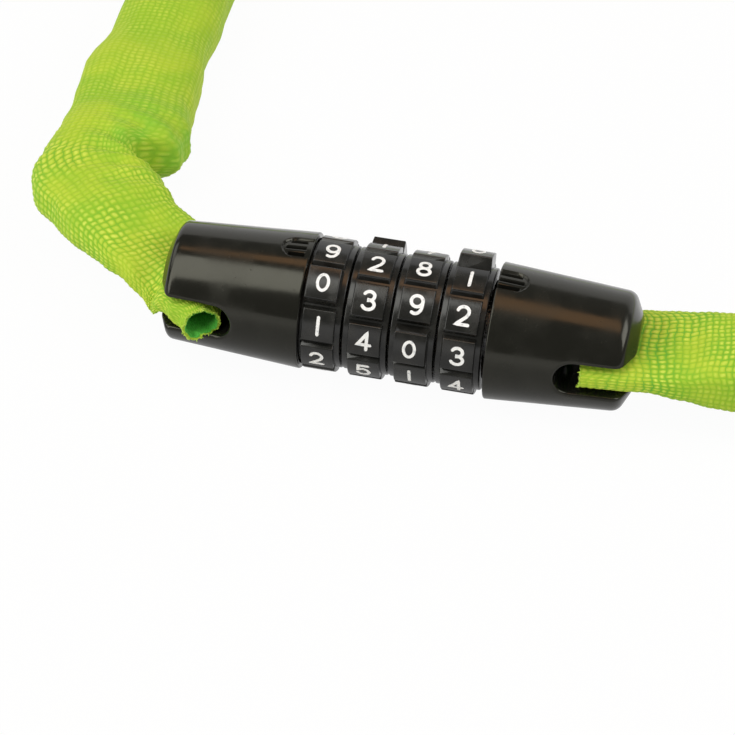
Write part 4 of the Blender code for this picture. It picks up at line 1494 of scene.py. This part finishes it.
@dataclass
class Sleeve:
    """The woven sleeve: one flat tube of cloth from the left slot round the back to the right slot.

    Knots give a distance from a pin towards the chain, the half widths outside and inside the loop, and the height.
    Bunch is 1 at the gathered left mouth and cut is 1 at either cut end; both fade away along the tube.
    """

    cloth: bpy.types.Material
    yarn: bpy.types.Material
    cap: Housing
    folds: ClothFolds = ClothFolds()
    pin_x: float = 0.04065
    floor_middle: float = 0.00705
    width: float = 0.0225
    wall: float = 0.0008
    height: float = 0.0140
    boxiness: float = 3.0
    sides: int = 92
    yarns_around: int = 46
    yarn_pitch: float = 0.00130
    length: float = 0.954
    left_route: tuple[Place, ...] = (
        (0.0050, -0.0114, -0.0007), (0.0019, -0.0046, 0.0), (-0.0001, 0.0006, 0.0), (-0.0098, 0.0110, 0.0),
        (-0.0201, 0.0225, -0.0009), (-0.0264, 0.0322, -0.0022), (-0.0273, 0.0457, -0.0035), (-0.0284, 0.0637, -0.0050),
    )
    back_route: tuple[Pair, ...] = (
        (-0.0697, 0.0868), (-0.0705, 0.1258), (-0.0728, 0.1680), (-0.0738, 0.2120), (-0.0710, 0.2560),
        (-0.0590, 0.2960), (-0.0350, 0.3260), (-0.0010, 0.3410), (0.0270, 0.3420), (0.0550, 0.3420),
        (0.0830, 0.3420), (0.1060, 0.3400), (0.1340, 0.3260), (0.1550, 0.2960), (0.1670, 0.2560),
        (0.1715, 0.2120), (0.1725, 0.1680), (0.1710, 0.1260), (0.1655, 0.0900), (0.1530, 0.0590),
        (0.1340, 0.0350),
    )
    right_route: tuple[Place, ...] = (
        (0.0700, 0.0160, -0.0050), (0.0520, 0.0086, -0.0033), (0.0400, 0.0053, -0.0018), (0.0280, 0.0032, -0.0006),
        (0.0180, 0.0018, -0.0002), (0.0080, 0.0005, 0.0), (0.0, 0.0, 0.0), (-0.0054, 0.0, 0.0),
    )
    left_knots: tuple[Span, ...] = (
        (-0.0134, 0.0036, 0.0032, 0.0070), (-0.0110, 0.0039, 0.0034, 0.0066), (-0.0086, 0.0056, 0.0044, 0.0059),
        (-0.0040, 0.0080, 0.0066, 0.0060), (0.0020, 0.0088, 0.0080, 0.0060), (0.0080, 0.0104, 0.0088, 0.0064),
        (0.0140, 0.0119, 0.0090, 0.0074), (0.0200, 0.0124, 0.0078, 0.0096), (0.0250, 0.0128, 0.0080, 0.0114),
        (0.0320, 0.0131, 0.0086, 0.0124), (0.0380, 0.0143, 0.0077, 0.0136), (0.0410, 0.0139, 0.0070, 0.0140),
        (0.0440, 0.0119, 0.0066, 0.0142), (0.0480, 0.0111, 0.0060, 0.0142), (0.0525, 0.0107, 0.0136, 0.0141),
        (0.0600, 0.0109, 0.0145, 0.0140), (0.0700, 0.0114, 0.0136, 0.0140), (0.0820, 0.0116, 0.0125, 0.0140),
        (0.0960, 0.0103, 0.0116, 0.0140), (0.1150, 0.0095, 0.0112, 0.0140), (0.1600, 0.01125, 0.01125, 0.0140),
    )
    right_knots: tuple[Span, ...] = (
        (-0.0054, 0.0112, 0.01125, 0.0060), (0.0010, 0.0106, 0.01125, 0.0060), (0.0062, 0.0101, 0.0120, 0.0060),
        (0.0120, 0.0104, 0.0116, 0.0084), (0.0180, 0.0102, 0.0104, 0.0116), (0.0235, 0.0100, 0.0100, 0.0134),
        (0.0330, 0.0100, 0.0104, 0.0138), (0.0500, 0.01125, 0.01125, 0.0140),
    )
    yarn_height: float = 0.00018
    yarn_left: Pair = (0.055, 0.075)
    yarn_right: Pair = (0.045, 0.060)
    weave_drift: float = 2.2
    drift_grain: Pair = (45.0, 1.4)
    line_step: float = 0.0004
    path_every: int = 4
    shown: Pair = (0.088, 0.064)
    rings_per_yarn: int = 4
    wide_step: float = 0.0048
    end_zone: float = 0.02
    end_reach: int = 4
    usual_reach: int = 14
    bunch_width: float = 0.0030
    mouth_rounding: float = 1.0
    mouth_thinning: float = 0.4
    mouth_droop: float = 0.0006
    mouth_slant: float = 0.15
    mouth_turn: float = 0.14
    mouth_depth: float = 0.006
    mouth_pleats: tuple[Place, ...] = ((0.00016, 3.0, 0.6), (0.00012, 7.0, 2.0))
    cut_width: float = 0.0020
    jag: float = 0.00045
    jag_grain: float = 5.0
    jag_seeds: Pair = (4.0, 9.0)
    lip: float = 0.0009
    lip_place: float = 0.0525
    lip_width: float = 0.0022
    lip_side: Pair = (0.2, 0.9)
    lift: float = 0.0022
    lift_place: float = 0.0518
    lift_width: float = 0.0032
    lift_side: Pair = (0.2, 0.8)
    lift_below: Pair = (0.0, 0.7)
    hang: float = 0.0038
    hang_from: Pair = (0.0436, 0.0466)
    hang_aside: Pair = (0.0040, 0.0085)
    hang_place: float = -0.0015
    hang_width: float = 0.0068
    lining_every: int = 3
    # The lining's rows of weave start this far on, so that the cloth's shader can give the inside of the tube its
    # painted shade.
    lining_rows: float = 4096.0
    clearance: float = 0.00008
    thread_root: float = 0.2
    thread_length: float = 0.0006
    thread_radius: float = 0.00017
    thread_seed: int = 7
    sharp: float = 60.0
    stretch_start: Place = (0.0307, 0.3422, 0.0070)
    stretch_end: Place = (0.0863, 0.3333, 0.0070)

    def route_points(self) -> list[Vector]:
        """Lay out the route's chosen points.

        Returns:
            The points, left cut end first.
        """
        drop = self.floor_middle - AXIS.z
        points = [AXIS + Vector((x - self.pin_x, y, z)) for x, y, z in self.left_route]
        points += [AXIS + Vector((x, y, drop)) for x, y in self.back_route]
        points += [AXIS + Vector((x + self.pin_x, y, z)) for x, y, z in self.right_route]
        return points

    @staticmethod
    def outline(turn: float, boxiness: float) -> Pair:
        """Return the place across and up, -1 to 1, at an angle round a section."""
        return tuple(math.copysign(abs(part) ** (2.0 / boxiness), part) for part in (math.cos(turn), math.sin(turn)))

    @cached_property
    def turns(self) -> list[float]:
        """Choose the angles of a ring's points, which stand evenly round the usual section.

        Returns:
            One angle for each point.
        """
        steps = 4000
        places = [self.outline(math.tau * i / steps, self.boxiness) for i in range(steps + 1)]
        walked = [0.0]
        for start, end in zip(places, places[1:]):
            walked.append(walked[-1] + math.hypot((end[0] - start[0]) * self.width, (end[1] - start[1]) * self.height))
        found, index = [], 0
        for k in range(self.sides):
            while walked[index + 1] <= walked[-1] * k / self.sides:
                index += 1
            found.append(math.tau * index / steps)
        return found

    @staticmethod
    def section(knots: tuple[Span, ...], distance: float) -> Place:
        """Find the section at a distance from a pin.

        Args:
            knots: one end's knots.
            distance: distance from that end's pin.
        Returns:
            The half widths outside and inside the loop, and the height.
        """
        for low, high in zip(knots, knots[1:]):
            if distance <= high[0]:
                share = ramp(distance, low[0], high[0])
                return tuple(a + share * (b - a) for a, b in zip(low[1:], high[1:]))
        return tuple(knots[-1][1:])

    def in_view(self, place: float, total: float) -> bool:
        """Return whether a place on the line is near enough to an end to be in the photograph."""
        return place < self.shown[0] or total - place < self.shown[1]

    def ring_places(self, total: float) -> list[float]:
        """Choose where the tube's rings stand, close together where the sleeve is in view.

        Args:
            total: the line's length.
        Returns:
            Places on the line.
        """
        places, place = [], 0.0
        while place < total:
            places.append(place)
            place += self.yarn_pitch / self.rings_per_yarn if self.in_view(place, total) else self.wide_step
        return [*places, total]

    def tube(self, line: CentreLine) -> tuple[Skin, Skin]:
        """Lay the tube round a line.

        Args:
            line: the sleeve's centre line.
        Returns:
            The outer face and the lining.
        """
        left_pin, right_pin = line.nearest(-self.pin_x), line.nearest(self.pin_x)
        outer, lining = Skin(self.clearance, 0.0), Skin(self.wall / 2.0, self.lining_rows)
        for number, place in enumerate(self.ring_places(line.total)):
            at_end = min(place, line.total - place) < self.end_zone
            centre, side, upward, along = line.frame(place, self.end_reach if at_end else self.usual_reach)
            yarns = [self.yarn_place(place, k) for k in range(self.sides)]
            yarns.append((float(self.yarns_around), yarns[0][1]))
            from_left, from_right = place - left_pin, right_pin - place
            plain = self.in_view(place, line.total) and self.mouth_depth < place < line.total
            for ring, skin in zip(self.rings(from_left, from_right, yarns), (outer, lining)):
                if skin is lining and plain and number % self.lining_every:
                    continue
                spots = [(centre + side * x + upward * y + along * z, x) for x, y, z in ring]
                skin.rings.append([self.hung(spot, from_left, x, skin.gap) for spot, x in spots])
                skin.maps.append([(u, v + skin.first_row) for u, v in yarns])
        return outer, lining

    def build(self) -> list[bpy.types.Object]:
        """Returns:
            The sleeve and its threads.
        """
        line = CentreLine(self.route_points(), self.line_step)
        outer, lining = self.tube(line)
        maker = MeshMaker()
        maker.strip(
            outer.rings + lining.rings[::-1] + outer.rings[:1],
            closed=True,
            maps=outer.maps + lining.maps[::-1] + outer.maps[:1],
        )
        piece = link_to_scene("woven_sleeve", maker.mesh("woven_sleeve", self.sharp), self.cloth)
        threads = self.fray(outer.rings)
        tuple(self.stretch_start)
        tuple(self.stretch_end)
        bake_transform(piece)
        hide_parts("sleeve_left", "sleeve_right")
        tuple(line.points[0])
        [tuple(point) for point in line.points[:: self.path_every] + line.points[-1:]]
        return [piece, *threads]

    def fray(self, outer: Rows) -> list[bpy.types.Object]:
        """Return the loose threads at both cut ends, each riding with its own half of the lock.

        Args:
            outer: the tube's outer rings, left cut end first.
        Returns:
            One object for each end.
        """
        tree = loose_threads()
        made = []
        for side, end, before in ((Side.LEFT, 0, 2), (Side.RIGHT, -1, -3)):
            roots, ways = [], []
            for root, further in zip(outer[end], outer[before]):
                roots.append(root.lerp(further, self.thread_root))
                ways.append((root - further).normalized())
            mesh = bpy.data.meshes.new("thread_roots")
            mesh.from_pydata(roots, [], [])
            way = mesh.attributes.new("way", "FLOAT_VECTOR", "POINT")
            way.data.foreach_set("vector", [value for vector in ways for value in vector])
            name = f"frayed_threads_{side.word}"
            threads = tree.run(
                name,
                mesh,
                {
                    "Length": self.thread_length,
                    "Radius": self.thread_radius,
                    "Seed": self.thread_seed,
                    "Finish": self.yarn,
                },
            )
            shade(threads, self.sharp)
            piece = link_to_scene(name, threads, self.yarn)
            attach(piece, side.body)
            made.append(piece)
        return made

    def yarn_place(self, place: float, k: int) -> Pair:
        """Find where a point of the tube lies in the weave.

        Args:
            place: the ring's place on the line.
            k: the point's number in its ring.
        Returns:
            Yarns counted round the tube and along it.
        """
        turn = self.turns[k]
        along, around = self.drift_grain
        drift = noise.noise(Vector((place * along, around * math.cos(turn), around * math.sin(turn))))
        return self.yarns_around * k / self.sides, place / self.yarn_pitch + self.weave_drift * drift

    def hung(self, place: Vector, from_left: float, aside: float, gap: float) -> Vector:
        """Return a point of the tube, lowered where its outer edge hangs over the end of the left slot.

        Within the barrel the tube stays between the jaws, and everywhere it stays on the ground.

        Args:
            place: the point.
            from_left: its distance from the left pin.
            aside: how far it lies to the loop's inside of the tube's middle.
            gap: how far it keeps from jaws and ground.
        Returns:
            The point, moved.
        """
        outside = ramp(-place.x, *self.hang_from) * ramp(-aside, *self.hang_aside)
        outside *= bell(from_left - self.hang_place, self.hang_width)
        place = place - Vector((0.0, 0.0, self.hang * outside))
        past_mouth = abs(place.x) - self.cap.mouth_x
        if past_mouth < self.cap.length:
            skin = self.cap.skin_radius(past_mouth) + self.wall / 2.0
            if math.hypot(place.y - AXIS.y, place.z - AXIS.z) < skin:
                jaw = self.cap.slot_half - gap
                place.z = min(max(place.z, AXIS.z - jaw), AXIS.z + jaw)
        place.z = max(place.z, gap)
        return place

    def rings(self, from_left: float, from_right: float, yarns: Sequence[Pair]) -> tuple[list[Place], list[Place]]:
        """Return the outer and inner ring of the tube at one place.

        Args:
            from_left: distance from the left pin towards the chain.
            from_right: distance from the right pin towards the chain.
            yarns: the place of each of the ring's points in the weave.
        Returns:
            Two lists of (across, up, along) offsets from the centre line.
        """
        at_left = from_left < from_right
        knots, distance = (self.left_knots, from_left) if at_left else (self.right_knots, from_right)
        outside, inside, height = self.section(knots, distance)
        bunch = bell(from_left - self.left_knots[0][0], self.bunch_width)
        cut = max(bunch, bell(from_right - self.right_knots[0][0], self.cut_width))
        shown = max(1.0 - ramp(from_left, *self.yarn_left), 1.0 - ramp(from_right, *self.yarn_right))
        lipped = -self.lip * bell(from_left - self.lip_place, self.lip_width)
        lifted = self.lift * bell(from_left - self.lift_place, self.lift_width)
        jag_seed = self.jag_seeds[0] if at_left else self.jag_seeds[1]
        rings = ([], [])
        for turn, (yarn, row) in zip(self.turns, yarns):
            across, up = self.outline(turn, self.boxiness - self.mouth_rounding * bunch)
            pillow = abs(math.sin(math.pi * yarn) * math.sin(math.pi * row))
            stand_out = self.folds.height(from_left, from_right, across, up) + self.yarn_height * pillow * shown
            stand_out += bunch * sum(size * math.cos(count * turn + phase) for size, count, phase in self.mouth_pleats)
            half = inside if across > 0.0 else outside
            droop = -self.mouth_droop * bunch * max(up, 0.0)
            jag = self.jag * cut * noise.noise(Vector((across * self.jag_grain, up * self.jag_grain, jag_seed)))
            lip = lipped * ramp(across, *self.lip_side)
            lift = lifted * ramp(across, *self.lift_side) * ramp(-up, *self.lift_below)
            for ring, thinner in zip(rings, (0.0, self.wall * (1.0 - self.mouth_thinning * bunch))):
                x = across * (half - thinner) + stand_out * math.cos(turn)
                y = up * (height / 2.0 - thinner) + stand_out * math.sin(turn) + droop + lift
                ring.append((x, y, bunch * (self.mouth_slant * y + self.mouth_turn * x) + jag + lip))
        return rings


@dataclass
class Works:
    """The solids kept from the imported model: the chain, the pins and the lock works inside the barrel."""

    nodes: dict[str, bpy.types.Object]
    steel: bpy.types.Material
    plated: bpy.types.Material
    brass: bpy.types.Material

    def dress(self) -> list[str]:
        """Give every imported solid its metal.

        Returns:
            The names of the solids that are kept.
        """
        for name, node in self.nodes.items():
            if name.startswith("chain_link") or name.endswith("chain_pin"):
                finish = self.plated
            elif name.startswith("code_ring"):
                finish = self.brass
            else:
                finish = self.steel
            node.data.materials.clear()
            node.data.materials.append(finish)
        return [name for name, node in self.nodes.items() if not node.hide_render]


@dataclass(frozen=True)
class Lamp:
    """One soft light that faces the lock; its glow is how bright its face is, where 1 is white."""

    name: str
    place: Place
    size: Pair
    glow: float
    colour: Colour = (1.0, 1.0, 1.0)

    def hang(self) -> None:
        """Hang the light."""
        data = bpy.data.lights.new(self.name, "AREA")
        data.shape = "RECTANGLE"
        data.size, data.size_y = self.size
        data.energy = self.glow * math.pi * self.size[0] * self.size[1]
        data.color = self.colour
        lamp = bpy.data.objects.new(self.name, data)
        lamp.location = self.place
        lamp.rotation_euler = (AXIS - Vector(self.place)).to_track_quat("-Z", "Y").to_euler()
        lamp.visible_camera = False
        bpy.context.scene.collection.objects.link(lamp)


@dataclass
class Studio:
    """White floor, a hidden card behind the lock, soft lights and the camera at the photograph's angle.

    The paper's two glows are spans of the place along Y, and their sum is how bright reflections see the paper; it dips
    near and under the lock as a painted shadow of the lock.
    """

    eye: Place = (0.07331, -0.47334, 0.37349)
    right: Place = (0.97977, 0.19273, 0.05383)
    up: Place = (-0.15847, 0.58307, 0.79682)
    sensor: float = 36.0
    lens: float = 157.3
    shift: Pair = (-0.0473, -0.0684)
    clip: Pair = (0.01, 50.0)
    paper_colour: Colour = (0.80, 0.80, 0.79)
    paper_roughness: float = 0.9
    # Painted shadow: together the two glows leave the paper dimmer in reflections near and under the lock, where the
    # lock shades the floor.
    shadowed_front_glow: Span = (-0.10, -0.025, 0.95, 0.58)
    shadowed_back_glow: Span = (0.010, 0.024, 0.0, 0.42)
    shadow_share: float = 0.035
    floor_half: float = 6.0
    card_half: float = 2.0
    card_foot: float = 1.2
    card_bend: float = 0.4
    card_top: float = 1.6
    card_turns: tuple[float, ...] = (0.2, 0.4, 0.6, 0.8, 1.0, 1.2, 1.4, QUARTER)
    card_sharp: float = 60.0
    room: Colour = (0.24, 0.24, 0.22)
    lamps: tuple[Lamp, ...] = (
        Lamp("front_left_softbox", (-0.66, -0.69, 0.76), (0.62, 1.72), 3.2, (1.0, 1.0, 0.95)),
        Lamp("warm_top_card", (-0.02, -0.02, 1.1), (0.9, 0.29), 1.9, (1.0, 0.53, 0.25)),
        Lamp("left_softbox", (-1.0, 0.1, 0.9), (0.9, 0.9), 1.6),
        Lamp("right_softbox", (1.05, -0.1, 0.85), (0.9, 0.9), 3.7),
    )

    def camera(self) -> None:
        """Set up the camera."""
        data = bpy.data.cameras.new("camera")
        data.sensor_width = self.sensor
        data.lens = self.lens
        data.shift_x, data.shift_y = self.shift
        data.clip_start, data.clip_end = self.clip
        right, up = Vector(self.right).normalized(), Vector(self.up)
        back = right.cross(up).normalized()
        up = back.cross(right)
        camera = bpy.data.objects.new("camera", data)
        camera.matrix_world = Matrix((right, up, back)).transposed().to_4x4()
        camera.location = Vector(self.eye)
        bpy.context.scene.collection.objects.link(camera)
        bpy.context.scene.camera = camera

    def paper(self) -> bpy.types.Material:
        """Mix the white paper: white to the eye, bright in reflections apart from a painted shadow near and under the
        lock, lit paper for all other light.

        Returns:
            The material.
        """
        tree = FinishTree("white_paper")
        tree.set("Base Color", (*self.paper_colour, 1.0))
        tree.set("Roughness", self.paper_roughness)
        tree.set("Specular IOR Level", 0.0)
        glow = tree.nodes.new("ShaderNodeEmission")
        ray = tree.nodes.new("ShaderNodeLightPath").outputs
        place = tree.nodes.new("ShaderNodeSeparateXYZ")
        tree.feed(place.inputs[0], tree.place())
        depth = place.outputs[1]
        # Painted shadow of the lock in reflections of the paper: the glow dips near and under it.
        strength = tree.calc("ADD", tree.spread(depth, *self.shadowed_front_glow), tree.spread(depth, *self.shadowed_back_glow))
        tree.feed(glow.inputs["Strength"], tree.calc("MAXIMUM", strength, ray["Is Camera Ray"]))
        reflected = tree.calc("MAXIMUM", ray["Is Glossy Ray"], ray["Is Transmission Ray"])
        seen = tree.calc("MAXIMUM", ray["Is Camera Ray"], reflected)
        mix = tree.nodes.new("ShaderNodeMixShader")
        tree.feed(mix.inputs[0], tree.calc("MULTIPLY", seen, 1.0 - self.shadow_share))
        tree.links.new(tree.shader.outputs[0], mix.inputs[1])
        tree.links.new(glow.outputs[0], mix.inputs[2])
        tree.links.new(mix.outputs[0], tree.nodes["Material Output"].inputs["Surface"])
        return tree.material

    def surfaces(self) -> None:
        """Lay the white floor and stand a white card behind the lock, which only reflections and light meet."""
        paper = self.paper()
        foot, bend = self.card_foot, self.card_bend
        card = [(foot + bend * math.sin(turn), bend * (1.0 - math.cos(turn))) for turn in self.card_turns]
        for name, half, profile in (
            ("paper_floor", self.floor_half, [(-self.floor_half, 0.0), (self.floor_half, 0.0)]),
            ("back_card", self.card_half, [*card, (foot + bend, self.card_top)]),
        ):
            maker = MeshMaker()
            maker.strip([[Vector((x, y, z)) for x in (-half, half)] for y, z in profile])
            piece = link_to_scene(name, maker.mesh(name, self.card_sharp), paper)
            piece.visible_camera = name == "paper_floor"

    def build(self) -> None:
        """Set the scene: camera, paper, lights and a dim room."""
        self.camera()
        self.surfaces()
        for lamp in self.lamps:
            lamp.hang()
        world = bpy.data.worlds.new("room")
        world.use_nodes = True
        world.node_tree.nodes["Background"].inputs[0].default_value = (*self.room, 1.0)
        bpy.context.scene.world = world
        bpy.context.scene.view_settings.view_transform = "Standard"


def main() -> None:
    """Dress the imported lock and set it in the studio."""
    logging.basicConfig(level=logging.INFO, format="%(message)s")
    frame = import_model()
    Studio().build()
    cloth = WovenLime().material()
    enamel = GlossEnamel().material()
    left = Housing(
        Side.LEFT,
        enamel,
        bore_steps=((0.0076, 0.0053), (0.002375, 0.0071), (0.0012, 0.0119)),
        groove_start=0.0011,
        bevel=0.0017,
        bevel_depth=0.0037,
        bevel_corner=0.0009,
    )
    right = Housing(Side.RIGHT, enamel, bore_steps=((0.0088, 0.0051), (0.00165, 0.0078)), groove_start=-0.001)
    for cap in (left, right):
        LOG.info("barrel half: %s", cap.build().name)
    for piece in Sleeve(cloth, FrayedYarn().material(), left).build():
        LOG.info("sleeve: %s", piece.name)
    finish, paint, blocks = DialEnamel().material(), NumberPaint().material(), ring_of_blocks()
    codes, turns = (9, 2, 8, 1), (5.0, -2.0, 1.0, -2.0)
    for number, (code, turn) in enumerate(zip(codes, turns), start=1):
        for piece in Dial(number, code, turn, finish, paint, NumberShapes(), blocks).build():
            LOG.info("dial: %s", piece.name)
    works = Works(
        frame["nodes"],
        steel=BareMetal("turned_steel", (0.50, 0.50, 0.50), (0.36, 0.35, 0.34), streak=(1.0, 6.0, 6.0)).material(),
        plated=BareMetal("plated_chain_steel", (0.58, 0.59, 0.60), (0.40, 0.40, 0.39)).material(),
        brass=BareMetal("turned_brass", (0.72, 0.50, 0.20), (0.50, 0.33, 0.12), streak=(6.0, 1.0, 1.0)).material(),
    )
    for name in works.dress():
        LOG.info("kept solid: %s", name)


if __name__ == "__main__":
    main()
